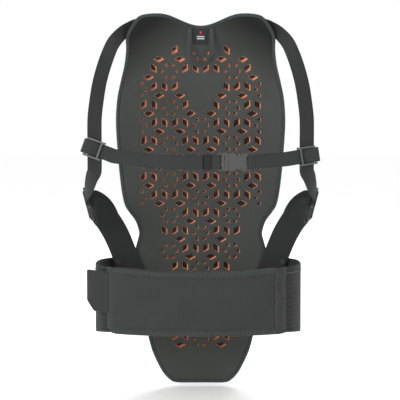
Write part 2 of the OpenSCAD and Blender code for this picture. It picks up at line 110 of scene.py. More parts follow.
def neck_drop(x, z):
    dip = NECK_DEPTH * np.cos(np.pi / 2 * np.asarray(x) / NECK_HALF) ** 2
    return np.where(np.abs(x) < NECK_HALF, dip * smooth((z - 140) / 136), 0)


def plate_outline(inset, step=2.5):
    """Closed outline of the plate as (x, z), moved inward by inset, from the tail's right corner round."""
    last = len(OUTLINE) - 1
    u = np.linspace(0, last, last * 6 + 1)
    tangent = curve(OUTLINE, np.minimum(u + 0.1, last)) - curve(OUTLINE, np.maximum(u - 0.1, 0))
    inward = unit(np.stack([-tangent[:, 1], tangent[:, 0]], 1))
    inward[0], inward[-1] = (0, 1), (0, -1)
    right = curve(OUTLINE, u) + inset * inward
    top_x = np.arange(right[-1, 0] - step, -right[-1, 0] + step / 2, -step)
    top_z = right[-1, 1] - neck_drop(top_x, right[-1, 1])
    left = right[::-1] * (-1, 1)
    tail_x = np.arange(left[-1, 0] + step, right[0, 0] - step / 2, step)
    tail = np.stack([tail_x, np.full_like(tail_x, right[0, 1])], 1)
    return np.concatenate([right, np.stack([top_x, top_z], 1), left, tail])


# ---------- meshes ----------


def make(name, points, faces, uv=None, flat=False, material=None):
    """Object from points in millimetres; uv holds one pair in metres for each point."""
    mesh = bpy.data.meshes.new(name)
    mesh.from_pydata((np.asarray(points, float) * MM).tolist(), [], [list(map(int, f)) for f in faces])
    mesh.update()
    if uv is not None:
        layer = mesh.uv_layers.new(name="cloth")
        loops = np.zeros(len(mesh.loops), np.int32)
        mesh.loops.foreach_get("vertex_index", loops)
        layer.data.foreach_set("uv", np.asarray(uv, float)[loops].ravel())
    if not flat:
        mesh.polygons.foreach_set("use_smooth", [True] * len(mesh.polygons))
    obj = bpy.data.objects.new(name, mesh)
    bpy.context.scene.collection.objects.link(obj)
    if material:
        obj.data.materials.append(material)
    return obj


def finish_piece(obj, body, nodes=()):
    if nodes:
        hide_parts(*nodes)
    if body:
        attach(obj, body)


def loft(rings, caps=True, start=0):
    """Faces that join rings of points, each a closed loop, where start is the first point's index."""
    n, k = len(rings), len(rings[0])
    faces = []
    for a in range(start, start + (n - 1) * k, k):
        faces += [(a + j, a + (j + 1) % k, a + k + (j + 1) % k, a + k + j) for j in range(k)]
    if caps:
        end = start + n * k
        faces += [tuple(range(start + k - 1, start - 1, -1)), tuple(range(end - k, end))]
    return faces


def grid_faces(rows, columns, closed=False):
    """Faces of a grid of points in rows; closed joins the last row to the first."""
    faces = []
    for i in range(rows if closed else rows - 1):
        a, b = i * columns, (i + 1) % rows * columns
        faces += [(a + j, a + j + 1, b + j + 1, b + j) for j in range(columns - 1)]
    return faces


def arc_lengths(points):
    """Length along a polyline up to each of its points."""
    return np.concatenate([[0], np.cumsum(np.linalg.norm(np.diff(points, axis=0), axis=1))])


def looped(points):
    return np.concatenate([points, points[:1]])


class Band:
    """Flat webbing along a route of (middle, direction across) entries, as the CAD source lays it."""

    STEPS = 14

    def __init__(self, route, width, thickness, mirrored=False):
        flip = np.array([-1 if mirrored else 1, 1, 1])
        middles = np.array([r[0] for r in route], float) * flip
        across = np.array([r[1] for r in route], float) * flip
        last = len(route) - 1
        self.u = np.linspace(0, last, last * self.STEPS + 1)
        self.middle = curve(middles, self.u)
        ahead, behind = np.minimum(self.u + 0.02, last), np.maximum(self.u - 0.02, 0)
        along = unit(curve(middles, ahead) - curve(middles, behind))
        w = curve(across, self.u)
        self.across = unit(w - (w * along).sum(1, keepdims=True) * along)
        self.through = np.cross(along, self.across)
        self.width, self.thickness = width, thickness
        self.length = arc_lengths(self.middle)

    def at(self, s, a=0.0, lift=0.0):
        """Point at arc length s and a across, lifted off the upper face or, where lift < 0, off the lower one."""
        m, w, t = (np.stack([np.interp(s, self.length, v[:, c]) for c in range(3)], -1)
                   for v in (self.middle, self.across, self.through))
        side = np.where(np.asarray(lift) >= 0, 1.0, -1.0)
        off = side * self.thickness / 2 + np.asarray(lift)
        return m + w * np.asarray(a)[..., None] + t * off[..., None]

    def s_of(self, u):
        return float(np.interp(u, self.u, self.length))

    def mesh(self, name, material, crown=0.0):
        w, t = self.width / 2, self.thickness / 2
        spread = np.linspace(-1, 1, 9)
        upper = [(w * 0.97 * x, t + crown * (1 - x * x)) for x in spread]
        lower = [(w * 0.97 * x, -t) for x in spread[::-1]]
        ring = np.array(upper + [(w, t * 0.35), (w, -t * 0.35)] + lower + [(-w, -t * 0.35), (-w, t * 0.35)])
        points = (self.middle[:, None] + self.across[:, None] * ring[None, :, :1]
                  + self.through[:, None] * ring[None, :, 1:])
        uv = np.stack(np.broadcast_arrays(self.length[:, None] * MM, ring[None, :, 0] * MM), -1)
        return make(name, points.reshape(-1, 3), loft(points), uv.reshape(-1, 2), material=material)


THREAD_SIDES = 4


def threads(name, lines, radius, material, body):
    """Thin tubes along polylines, as one piece."""
    points, faces = [], []
    angles = np.arange(THREAD_SIDES) * 2 * np.pi / THREAD_SIDES
    for line in lines:
        line = np.asarray(line, float)
        t = unit(np.gradient(line, axis=0))
        ref = np.where(np.abs(t[:, 2:]) > 0.9, np.array([[1.0, 0, 0]]), np.array([[0, 0, 1.0]]))
        a = unit(np.cross(t, ref))
        b = np.cross(t, a)
        shrink = np.ones(len(line))
        shrink[[0, -1]] = 0.45
        rings = line[:, None] + radius * shrink[:, None, None] * (
            a[:, None] * np.cos(angles)[None, :, None] + b[:, None] * np.sin(angles)[None, :, None])
        faces += loft(rings, start=len(points) * THREAD_SIDES)
        points += list(rings)
    finish_piece(make(name, np.concatenate(points), faces, material=material), body)


def seam(at, start, end, pitch=2.6, share=0.72, rise=0.16):
    """Running stitches from start to end; at maps a row of (s, a) pairs to points just over the cloth."""
    start, end = np.asarray(start, float), np.asarray(end, float)
    count = max(1, int(round(np.linalg.norm(end - start) / pitch)))
    lines = []
    for k in range(count):
        f = (k + np.linspace((1 - share) / 2, (1 + share) / 2, 5)) / count
        pairs = start + (end - start) * f[:, None]
        lift = rise * np.sin(np.linspace(0, np.pi, 5)) + 0.02
        lines.append(at(pairs[:, 0], pairs[:, 1], lift))
    return lines


def box_stitch(at, s0, s1, half):
    corners = [(s0, -half), (s1, -half), (s1, half), (s0, half)]
    lines = []
    for a, b in zip(corners, corners[1:] + corners[:1]):
        lines += seam(at, a, b)
    return lines + seam(at, corners[0], corners[2]) + seam(at, corners[1], corners[3])


# ---------- materials ----------


def srgb(r, g, b):
    def linear(v):
        v /= 255
        return v / 12.92 if v <= 0.04045 else ((v + 0.055) / 1.055) ** 2.4

    return (linear(r), linear(g), linear(b), 1)


class Shader:
    """A Principled material with a few helpers for its nodes."""

    def __init__(self, name, roughness=0.8, sheen=0.0, specular=0.2):
        self.material = bpy.data.materials.new(name)
        self.material.use_nodes = True
        self.tree = self.material.node_tree
        self.bsdf = self.tree.nodes["Principled BSDF"]
        self.bsdf.inputs["Roughness"].default_value = roughness
        self.bsdf.inputs["Specular IOR Level"].default_value = specular
        if sheen:
            self.bsdf.inputs["Sheen Weight"].default_value = sheen * 0.25
            self.bsdf.inputs["Sheen Roughness"].default_value = 0.45

    def node(self, kind, **values):
        n = self.tree.nodes.new(kind)
        for k, v in values.items():
            setattr(n, k, v)
        return n

    def link(self, a, b):
        self.tree.links.new(a, b)

    def value(self, socket_or_number, target):
        if isinstance(socket_or_number, (int, float)):
            target.default_value = socket_or_number
        else:
            self.link(socket_or_number, target)

    def math(self, operation, a, b=None, c=None):
        n = self.node("ShaderNodeMath", operation=operation)
        for k, v in enumerate((a, b, c)):
            if v is not None:
                self.value(v, n.inputs[k])
        return n.outputs[0]

    def axes(self, kind):
        """The two or three coordinates of the cloth, in metres: its own map, or the object's frame."""
        if kind == "cloth":
            self.vector = self.node("ShaderNodeUVMap", uv_map="cloth").outputs["UV"]
        else:
            self.vector = self.node("ShaderNodeTexCoord").outputs["Object"]
        split = self.node("ShaderNodeSeparateXYZ")
        self.link(self.vector, split.inputs[0])
        return split.outputs

    def wave(self, x, pitch, phase=0.0):
        return self.math("SINE", self.math("MULTIPLY_ADD", x, 2 * math.pi / (pitch * MM), phase))

    def noise(self, scale, detail=3.0):
        n = self.node("ShaderNodeTexNoise")
        n.inputs["Scale"].default_value = scale
        n.inputs["Detail"].default_value = detail
        self.link(self.vector, n.inputs["Vector"])
        return n.outputs[0]

    def ramp(self, factor, stops):
        n = self.node("ShaderNodeValToRGB")
        ramp = n.color_ramp
        while len(ramp.elements) < len(stops):
            ramp.elements.new(0.5)
        for e, (at, colour) in zip(ramp.elements, stops):
            e.position, e.color = at, colour
        self.link(factor, n.inputs[0])
        return n.outputs[0]

    def mix(self, factor, a, b):
        n = self.node("ShaderNodeMix", data_type="RGBA")
        self.value(factor, n.inputs[0])
        for socket, v in ((n.inputs[6], a), (n.inputs[7], b)):
            if isinstance(v, tuple):
                socket.default_value = v
            else:
                self.link(v, socket)
        return n.outputs[2]

    def bump(self, height, strength, distance):
        n = self.node("ShaderNodeBump")
        n.inputs["Strength"].default_value = strength
        n.inputs["Distance"].default_value = distance * MM
        self.link(height, n.inputs["Height"])
        self.link(n.outputs[0], self.bsdf.inputs["Normal"])

    def colour(self, socket):
        self.link(socket, self.bsdf.inputs["Base Color"])


def scaled(colour, k):
    return tuple(min(1, c * k) for c in colour[:3]) + (1,)


def worn(shader, colour, spread=0.16, scale=28):
    """Base colour with soft patches of wear and fine lint."""
    patches = shader.noise(scale)
    lint = shader.noise(scale * 30, 1.0)
    both = shader.math("MULTIPLY_ADD", lint, 0.35, shader.math("MULTIPLY", patches, 0.65))
    return shader.ramp(both, [(0.3, scaled(colour, 1 - spread)), (0.7, scaled(colour, 1 + spread))])


def webbing(name, colour, rib=1.5, cross=1.5, mode="cloth"):
    """Flat woven tape with fine ribs along and across it."""
    s = Shader(name, 0.78, 0.25)
    x = s.axes(mode)
    u, v = (x[0], x[1]) if mode == "cloth" else (x[0], x[2])
    weave = s.math("MULTIPLY", s.wave(u, rib), s.wave(v, cross))
    base = worn(s, colour)
    shade = s.math("MULTIPLY_ADD", weave, 0.5, 0.5)
    s.colour(s.mix(shade, scaled(colour, 0.72), base))
    s.bump(weave, 0.55, 0.22)
    return s.material


def mesh_knit(name, colour, cell):
    """Spacer mesh with small round openings."""
    s = Shader(name, 0.85, 0.3)
    s.axes("object")
    cells = s.node("ShaderNodeTexVoronoi", feature="F1")
    cells.inputs["Scale"].default_value = 1 / (cell * MM)
    cells.inputs["Randomness"].default_value = 0.25
    s.link(s.vector, cells.inputs["Vector"])
    open_part = s.ramp(cells.outputs["Distance"], [(0.25, (0, 0, 0, 1)), (0.5, (1, 1, 1, 1))])
    base = worn(s, colour)
    s.colour(s.mix(open_part, scaled(colour, 0.6), base))
    s.bump(open_part, 0.6, 0.3)
    return s.material


def honeycomb(name, colour):
    """Belt mesh: rows of small openings, each row half a step along."""
    pitch = 3.0
    s = Shader(name, 0.85, 0.3)
    x = s.axes("cloth")
    v = s.math("MULTIPLY", x[1], 0.866)
    total = s.wave(x[0], pitch, math.pi / 2)
    for sign in (1, -1):
        slant = s.math("MULTIPLY_ADD", x[0], 0.5, s.math("MULTIPLY", v, sign))
        total = s.math("ADD", total, s.wave(slant, pitch, math.pi / 2))
    dots = s.ramp(s.math("MULTIPLY_ADD", total, 0.2222, 0.3333), [(0.35, (1, 1, 1, 1)), (0.8, (0, 0, 0, 1))])
    base = worn(s, colour, 0.12, 22)
    s.colour(s.mix(dots, scaled(colour, 0.55), base))
    s.bump(dots, 0.6, 0.3)
    return s.material


def plain(name, colour, roughness=0.5, sheen=0.0, specular=0.5, grain=0.05):
    s = Shader(name, roughness, sheen, specular)
    s.axes("object")
    s.colour(worn(s, colour, 0.08))
    s.bump(s.noise(900, 2.0), 0.5, grain)
    return s.material


def cover_fabric():
    """Laminated knit of the plate: fine ribs; painted shade makes it a little darker towards the shoulder corners
    and the sides.
    """
    s = Shader("cover_knit", 0.72, 0.25)
    x = s.axes("object")
    rib = s.math("MULTIPLY", s.wave(x[0], 1.4), s.wave(x[2], 1.4))
    base = worn(s, srgb(57, 59, 56), 0.1, 18)
    # Painted shade: the top corners, where the plate curves forward and away from the light, are darkened in the
    # base colour
    side = s.math("ABSOLUTE", x[0])
    corner = s.math("ADD", s.math("MULTIPLY", side, 0.55), s.math("MULTIPLY", x[2], 0.85))
    dark = s.ramp(corner, [(0.205, (0, 0, 0, 1)), (0.262, (1, 1, 1, 1))])
    corner_shaded = s.mix(dark, base, srgb(12, 13, 13))
    shade = s.math("MULTIPLY_ADD", rib, 0.12, 0.12)
    s.colour(s.mix(shade, corner_shaded, srgb(23, 24, 24)))
    s.bump(rib, 0.35, 0.12)
    return s.material


def elastic(name, colour):
    """Wide woven elastic: fine cords with a raised stripe every few of them."""
    cord, stripe = 1.55, 6.4
    s = Shader(name, 0.82, 0.3)
    height = s.axes("object")[2]
    cords = s.wave(height, cord)
    band = s.math("POWER", s.math("MULTIPLY_ADD", s.wave(height, stripe), 0.5, 0.5), 4.0)
    base = worn(s, colour)
    s.colour(s.mix(band, base, scaled(colour, 1.7)))
    s.bump(s.math("MULTIPLY_ADD", cords, 0.5, band), 0.6, 0.3)
    return s.material


def ruched():
    s = Shader("ruched_strip", 0.84, 0.3)
    s.axes("object")
    s.colour(worn(s, srgb(52, 53, 52), 0.2, 60))
    s.bump(s.noise(1400, 2.0), 0.4, 0.15)
    return s.material


def foam():
    s = Shader("core_foam", 0.75, 0.1, 0.3)
    s.axes("object")
    s.colour(worn(s, srgb(240, 176, 140), 0.1, 40))
    s.bump(s.noise(2500, 2.0), 0.3, 0.1)
    return s.material


def pile(name, colour):
    """Hook-and-loop tape."""
    s = Shader(name, 0.95, 0.5)
    s.axes("object")
    grain = s.noise(1600, 2.0)
    s.colour(s.ramp(grain, [(0.35, scaled(colour, 0.6)), (0.7, scaled(colour, 1.5))]))
    s.bump(grain, 0.8, 0.5)
    return s.material


def label_cloth():
    """Woven label: a dark ground with a short red bar and two plain pale lines."""
    s = Shader("label_cloth", 0.8, 0.2)
    x = s.axes("object")
    side = s.math("ABSOLUTE", x[0])

    def bar(low, high, half):
        above, below = s.math("GREATER_THAN", x[2], low * MM), s.math("LESS_THAN", x[2], high * MM)
        return s.math("MULTIPLY", s.math("MULTIPLY", above, below), s.math("LESS_THAN", side, half * MM))

    red = s.mix(bar(247, 251, 1.3), srgb(38, 39, 39), srgb(170, 48, 44))
    pale = s.math("ADD", bar(242.2, 243.8, 5.5), bar(239.2, 240.8, 5.5))
    s.colour(s.mix(pale, red, srgb(168, 170, 170)))
    s.bump(s.math("MULTIPLY", s.wave(x[0], 1.0), s.wave(x[2], 1.0)), 0.4, 0.1)
    return s.material


M = {
    "cover": cover_fabric(),
    "foam": foam(),
    "lining": plain("lining", srgb(66, 60, 58), 0.9, grain=0.1),
    "outer": mesh_knit("outer_weave", srgb(34, 35, 35), 1.6),
    "panel": mesh_knit("spine_mesh", srgb(46, 48, 47), 2.6),
    "tape": webbing("binding_tape", srgb(27, 30, 30), 1.2, 1.2, mode="object"),
    "overlock": plain("overlock_thread", srgb(65, 71, 70), 0.6, 0.3, 0.3, 0.03),
    "edge_thread": plain("edge_thread", srgb(86, 99, 99), 0.6, 0.3, 0.3, 0.03),
    "strap": webbing("strap_webbing", srgb(39, 41, 40)),
    "hang": webbing("hang_webbing", srgb(55, 58, 57), 1.0, 1.0),
    "chest": webbing("chest_webbing", srgb(43, 46, 45)),
    "side": webbing("side_elastic", srgb(37, 38, 38), 1.2, 2.4),
    "flap": webbing("flap_elastic", srgb(34, 35, 35), 1.2, 2.4, mode="object"),
    "wing": elastic("wing_elastic", srgb(30, 32, 31)),
    "belt": honeycomb("belt_mesh", srgb(45, 48, 47)),
    "tab": honeycomb("tab_mesh", srgb(40, 42, 41)),
    "belt_back": mesh_knit("belt_back_mesh", srgb(38, 40, 39), 2.4),
    "ruched": ruched(),
    "loop": pile("loop_tape", srgb(31, 32, 32)),
    "buckle": plain("buckle_plastic", srgb(36, 39, 38), 0.3, grain=0.04),
    "slider": plain("slider_plastic", srgb(57, 60, 59), 0.34, grain=0.04),
    "adjuster": plain("adjuster_plastic", srgb(38, 41, 40), 0.28, grain=0.04),
    "keeper": webbing("keeper_elastic", srgb(31, 32, 32), 1.0, 1.0, mode="object"),
    "label": label_cloth(),
    "thread": plain("dark_thread", srgb(26, 28, 28), 0.6, 0.2, 0.4, 0.02),
    "pale_thread": plain("pale_thread", srgb(116, 119, 117), 0.6, 0.2, 0.4, 0.02),
    "grey_thread": plain("grey_thread", srgb(69, 73, 72), 0.6, 0.2, 0.4, 0.02),
}

# ---------- perforated plate ----------

PITCH = 31.0
ROW_H = 26.85
FIRST_ROW = 111.5
RHOMBUS = 9.9
TRIANGLE = 6.6


def mouth_of(hole, grow=0.0, radius=1.2):
    """Rounded outline of a hole, grown by grow.

    It is a rhombus with its blunt corners along the direction, or a triangle that points along it."""
    centre, direction, large = hole
    d = math.radians(direction)
    r = np.array([math.cos(d), math.sin(d)])
    q = np.array([-r[1], r[0]])
    if large:
        k = 1 + grow / (RHOMBUS * 0.433)
        shape = (r * RHOMBUS / 2, q * RHOMBUS * 0.866, -r * RHOMBUS / 2, -q * RHOMBUS * 0.866)
    else:
        k = 1 + grow / (TRIANGLE * 0.289)
        shape = (r * TRIANGLE * 0.577, -r * TRIANGLE * 0.289 + q * TRIANGLE / 2,
                 -r * TRIANGLE * 0.289 - q * TRIANGLE / 2)
    corners = [centre + k * v for v in shape]
    out = []
    for before, c, after in zip(corners[-1:] + corners[:-1], corners, corners[1:] + corners[:1]):
        a, b = unit(before - c), unit(after - c)
        half = math.acos(np.clip(a @ b, -1, 1)) / 2
        cut = min(radius * (1 if large else 0.75) / math.tan(half), 0.42 * np.linalg.norm(after - c))
        for t in (0, 0.25, 0.5, 0.75, 1):
            out.append((1 - t) ** 2 * (c + a * cut) + 2 * t * (1 - t) * c + t * t * (c + b * cut))
        if large:
            out.append((c + after) / 2)
    return np.array(out)


def cell_holes(kind, x, z, keep):
    """Holes of one cell: (centre, direction in degrees, large or not)."""
    reach, spots = (10.3, range(0, 360, 60)) if kind == "flower" else (8.95, (30, 150, 270))
    return [(np.array([x + reach * math.cos(math.radians(a)), z + reach * math.sin(math.radians(a))]),
             a if kind == "triad" else 180 if a in (0, 120, 240) else 0, kind == "triad")
            for a in spots if keep(a)]


def plate_holes():
    """Every hole of the plate: triads of large rhombi, and a ring of six small ones at each third cell."""
    holes = []
    for row in range(-4, 13):
        z = FIRST_ROW - ROW_H * row
        odd = row % 2 != 0
        reach = {-4: 2, -3: 2.5, -2: 3, -1: 2.5, 5: 1.5, 6: 2, 7: 1.5}.get(row, 3 if row < 5 else 1)
        for k in range(-6, 7):
            i = k / 2
            if (k % 2 != 0) != odd or abs(i) > reach:
                continue
            flower = abs(i) % 3 == (1.5 if odd else 0)
            out, inn = (30, 150) if i > 0 else (150, 30)
            away = (lambda a, s=np.sign(i): s * math.cos(math.radians(a)) < -0.1)
            keep = (lambda a: True)
            if flower and abs(i) == 3:
                keep = away
            elif flower and row == -4:
                keep = (lambda a: a in (0, 180, 240, 300))
            elif flower and row == -2:
                continue
            elif (row, abs(i)) in ((-4, 1), (-2, 1)):
                keep = (lambda a, o=out: a in (o, 270))
            elif (row, abs(i)) == (-4, 2):
                keep = (lambda a: a == 270)
            elif (row, abs(i)) == (-3, 0.5):
                keep = (lambda a: a != 270)
            elif (row, abs(i)) == (-3, 2.5):
                keep = (lambda a, n=inn: a in (n, 270))
            elif (row, abs(i)) == (-1, 0.5):
                keep = (lambda a, n=inn: a != n)
            elif (row, abs(i)) == (6, 2):
                keep = (lambda a, n=inn: a == n)
            holes += cell_holes("flower" if flower else "triad", PITCH * i, z, keep)
    return holes


HOLES = plate_holes()


def dense(polygon, step=0.8):
    nxt = np.roll(polygon, -1, axis=0)
    out = []
    for a, b in zip(polygon, nxt):
        n = max(1, int(np.linalg.norm(b - a) / step))
        out += [a + (b - a) * t / n for t in range(n)]
    return out


def tree_of(points):
    tree = kdtree.KDTree(len(points))
    for i, p in enumerate(points):
        tree.insert((p[0], p[1], 0), i)
    tree.balance()
    return tree


def nearest(tree, points):
    return np.array([tree.find((p[0], p[1], 0))[2] for p in points])


edge_tree = tree_of(dense(plate_outline(BINDING_W), 1.5))


def tiled(outline, polygons, step, rings, keep_inside=False):
    """Points and triangles of an outline with holes, on a fine grid with extra points at rings."""
    points = [Vector(p) for p in outline]
    loops = [list(range(len(points)))]
    for polygon in polygons:
        loops.append(list(range(len(points), len(points) + len(polygon))))
        points += [Vector(p) for p in polygon]
    edge = tree_of(dense(outline, step / 2))
    hole = tree_of([p for polygon in polygons for p in dense(polygon)]) if polygons else None
    lo, hi = outline.min(0), outline.max(0)
    extra = [np.array([x + (step / 2 if j % 2 else 0), z])
             for j, z in enumerate(np.arange(lo[1], hi[1], step * 0.866))
             for x in np.arange(lo[0], hi[0], step)]
    extra = [p for p in extra if edge.find((p[0], p[1], 0))[2] > step * 0.45]
    if hole:
        extra = [p for p in extra if hole.find((p[0], p[1], 0))[2] > 1.5]
        extra += list(rings)
    points += [Vector(p) for p in extra]
    got, _, faces, _, _, origin = delaunay_2d_cdt(points, [], loops, 2, 1e-4)
    flat = np.array([(p[0], p[1]) for p in got])
    kept = [f for f, o in zip(faces, origin) if 0 in o and (keep_inside or len(o) == 1)]
    return flat, kept


def compact(points, faces):
    used = sorted({i for f in faces for i in f})
    index = {old: new for new, old in enumerate(used)}
    return points[used], [tuple(index[i] for i in f) for f in faces]


def sunk(x, z, depth, lean=True):
    """Point at a depth in the plate: square to the surface, or along the leaning axis of a moulded hole."""
    gx, gz = face_slope(x, z)
    sx = -0.45 * gx - 0.17 if lean else -gx
    sz = -1.4 * gz if lean else -gz
    xx, zz = x + sx * depth, z + sz * depth
    return np.stack([xx, face_y(xx, zz) + depth, zz], -1)


def emboss(x, z):
    """Shallow hexagonal groove in the plain field below the neck."""
    px, pz = np.abs(x), np.abs(z - 166)
    hexagon = np.maximum(px * 0.866 + pz * 0.5, pz)
    return 0.9 * np.exp(-((hexagon - 15.5) / 0.9) ** 2) + 0.5 * np.exp(-((hexagon - 9.5) / 0.8) ** 2)


LIP_LEVELS = (0.5, 1.0, 1.9)
CORE_LEVELS = (1.9, 2.4, 6, 10, 13.3)
mouths = [mouth_of(h) for h in HOLES]
lips = [p for h in HOLES for p in mouth_of(h, 0.9, 1.6)]
mouth_tree = tree_of([p for m in mouths for p in dense(m)])
outline = plate_outline(BINDING_W + 0.3)
flat, faces = tiled(outline, mouths, 3.6, lips)
flat, faces = compact(flat, faces)
x, z = flat[:, 0], flat[:, 1]
to_hole, to_edge = nearest(mouth_tree, flat), nearest(edge_tree, flat)
depth = 0.55 * np.exp(-((to_hole / 0.75) ** 2)) - 0.45 * smooth((to_hole - 1) / 4) * smooth((to_edge - 3) / 6)
depth = depth + 1.3 * np.exp(-to_edge / 2.2) + emboss(x, z)
front = np.stack([x, face_y(x, z) + depth, z], -1)
walls, wall_faces = [], []
for mouth in mouths:
    rings = np.stack([sunk(mouth[:, 0], mouth[:, 1], d, False) for d in LIP_LEVELS])
    wall_faces += loft(rings, caps=False, start=len(front) + sum(len(w) for w in walls))
    walls.append(rings.reshape(-1, 3))
cover = make("plate_cover", np.concatenate([front] + walls), faces + wall_faces, material=M["cover"])
finish_piece(cover, "root", ["inner_cover"])

# Foam core: its holes are a little smaller than the cover's, so that an orange rim shows all round
core_mouths = [mouth_of(h, -0.2, 1.1) for h in HOLES]
core_outline = plate_outline(BINDING_W + 9.3)
flat, faces = tiled(core_outline, core_mouths, 6, [])
flat, faces = compact(flat, faces)
top = np.stack([flat[:, 0], face_y(flat[:, 0], flat[:, 1]) + 1.9, flat[:, 1]], -1)
walls, wall_faces = [], []
for loop, lean in [(m, True) for m in core_mouths] + [(core_outline, False)]:
    top_d = CORE_LEVELS[0]
    rings = np.stack([sunk(loop[:, 0], loop[:, 1], d - top_d, lean) + (0, top_d, 0) for d in CORE_LEVELS])
    wall_faces += loft(rings, caps=False, start=len(top) + sum(len(w) for w in walls))
    walls.append(rings.reshape(-1, 3))
core = make("plate_core", np.concatenate([top] + walls), faces + wall_faces, material=M["foam"])
finish_piece(core, "root", ["impact_core"])


def back_depth(to_edge):
    return RIM_T - 0.4 + (OUTER_BACK - RIM_T + 0.4) * np.sin(np.pi / 2 * np.clip(to_edge / 11, 0, 1)) ** 0.85


# Outer cover: a dark lining behind the holes, and the outside with the hole pattern pressed into it
dimples = [mouth_of(h, -0.3) for h in HOLES if abs(h[0][0]) > 31]
dimple_tree = tree_of([p for m in dimples for p in dense(m)])
outline = plate_outline(BINDING_W + 0.3)
flat, faces = tiled(outline, dimples, 3.8, [], keep_inside=True)
x, z = flat[:, 0], flat[:, 1]
to_edge, to_dimple = nearest(edge_tree, flat), nearest(dimple_tree, flat)
centres = tree_of([h[0] for h in HOLES if abs(h[0][0]) > 31 and h[2]])
to_centre = nearest(centres, flat)
pressed = 0.9 * np.exp(-((to_dimple / 0.9) ** 2)) + 0.5 * (to_centre < 3.4)
quilt = 1.0 * np.exp(-(((to_edge - 15) / 1.1) ** 2))
relief = pressed * smooth((to_edge - 12) / 4)
shell = np.stack([x, face_y(x, z) + back_depth(to_edge) - relief - quilt, z], -1)
lining_flat, lining_faces = tiled(plate_outline(BINDING_W + 8), [], 7, [])
lx, lz = lining_flat[:, 0], lining_flat[:, 1]
lining = np.stack([lx, face_y(lx, lz) + 13.2, lz], -1)
outer = make("outer_cover_shell", shell, faces, material=M["outer"])
finish_piece(outer, "root", ["outer_cover"])
inner_face = make("plate_lining", lining, lining_faces, material=M["lining"])
finish_piece(inner_face, "root")

# Stitched channel round the outside
loop = plate_outline(BINDING_W + 14.8)


def on_back(x, z, lift):
    d = nearest(edge_tree, np.stack([x, z], -1))
    return np.stack([x, face_y(x, z) + back_depth(d) - 1.0 + lift, z], -1)


def path_stitches(loop, place, pitch):
    """Running stitches round a closed loop of (x, z), laid by place."""
    loop = looped(loop)
    s = arc_lengths(loop)
    lines = []
    for k in range(int(s[-1] / pitch)):
        t = (k + np.linspace(0, 0.66, 4)) * pitch
        x, z = np.interp(t, s, loop[:, 0]), np.interp(t, s, loop[:, 1])
        lines.append(place(x, z, 0.25 * np.sin(np.linspace(0, np.pi, 4)) + 0.1))
    return lines


threads("back_channel_stitches", path_stitches(loop, on_back, 4.0), 0.28, M["grey_thread"], "root")

# Edge binding: a folded tape, and the overlock thread that wraps it
TAPE = [(5.0, "front"), (3.4, "front"), (1.8, "front"), (0.7, "front"), (0.0, "mid"), (0.7, "back"),
        (1.8, "back"), (3.2, "back"), (4.6, "back")]


def tape_point(p, inward, d, side, lift):
    at = p + inward * d
    y = face_y(at[:, 0], at[:, 1])
    if side == "front":
        y = y + 1.3 * math.exp(-max(d - BINDING_W, 0) / 2.2) - 0.5 - lift + (1.6 if d < 1 else 0)
    elif side == "back":
        y = y + back_depth(max(d - BINDING_W, 0)) + 0.45 + lift - (1.5 if d < 1 else 0)
    else:
        at = at - inward * lift
        y = y + RIM_T / 2 + 0.3
    return np.stack([at[:, 0], y, at[:, 1]], -1)


rim = plate_outline(0.0)
tangent = unit(np.roll(rim, -1, axis=0) - np.roll(rim, 1, axis=0))
inward = np.stack([-tangent[:, 1], tangent[:, 0]], -1)
for _ in range(3):
    inward = unit(inward + 0.5 * (np.roll(inward, 1, axis=0) + np.roll(inward, -1, axis=0)))
rings = np.stack([tape_point(rim, inward, d, side, 0) for d, side in TAPE], 1)
binding = make("edge_tape", rings.reshape(-1, 3), grid_faces(len(rim), len(TAPE), closed=True),
               material=M["tape"])
finish_piece(binding, "root", ["edge_binding"])


def overlock(pitch):
    """Slanting strokes of thread round the tape, from its front edge over the rim to its back edge."""
    closed_rim, closed_in = looped(rim), looped(inward)
    arc = arc_lengths(closed_rim)
    n = int(arc[-1] / pitch)
    lines = []
    for i in range(n):
        line = []
        for d, side in TAPE:
            s = (i + 0.5 - 0.14 * d / TAPE[0][0]) * arc[-1] / n % arc[-1]
            p = np.array([[np.interp(s, arc, closed_rim[:, c]) for c in (0, 1)]])
            w = unit(np.array([[np.interp(s, arc, closed_in[:, c]) for c in (0, 1)]]))
            line.append(tape_point(p, w, d, side, 0.12)[0])
        lines.append(line)
    return lines


threads("edge_overlock", overlock(2.7), 0.42, M["edge_thread"], "root")

# Raised panel down the back
PANEL_LOW, PANEL_HIGH, PANEL_W = -60, 215, 26
PANEL_ROWS, PANEL_COLUMNS = 150, 29


def panel_half(z):
    u = (z - PANEL_LOW) / (PANEL_HIGH - PANEL_LOW)
    return PANEL_W * np.maximum(np.sin(np.pi * u), 0.06) ** 0.35


zs = np.linspace(PANEL_LOW, PANEL_HIGH, PANEL_ROWS)
xs = np.linspace(-1, 1, PANEL_COLUMNS)
gx, gz = panel_half(zs)[:, None] * xs[None], np.broadcast_to(zs[:, None], (PANEL_ROWS, PANEL_COLUMNS))
rise = 2.5 * (1 - np.abs(xs[None]) ** 6) - 0.9 * np.exp(-(((np.abs(xs[None]) - 0.8) / 0.04) ** 2))
chevron = 0.8 * np.exp(-(((np.mod(gz + np.abs(gx) * 0.6, 24) - 12) / 1.2) ** 2)) * (np.abs(xs[None]) < 0.74)
end = smooth((gz - PANEL_LOW) / 8) * smooth((PANEL_HIGH - gz) / 8)
gy = face_y(gx, gz) + OUTER_BACK + (rise - chevron) * end - 0.3
panel = make("spine_pad", np.stack([gx, gy, gz], -1).reshape(-1, 3), grid_faces(PANEL_ROWS, PANEL_COLUMNS),
             material=M["panel"])
finish_piece(panel, "root", ["spine_panel"])

# ---------- webbing ----------

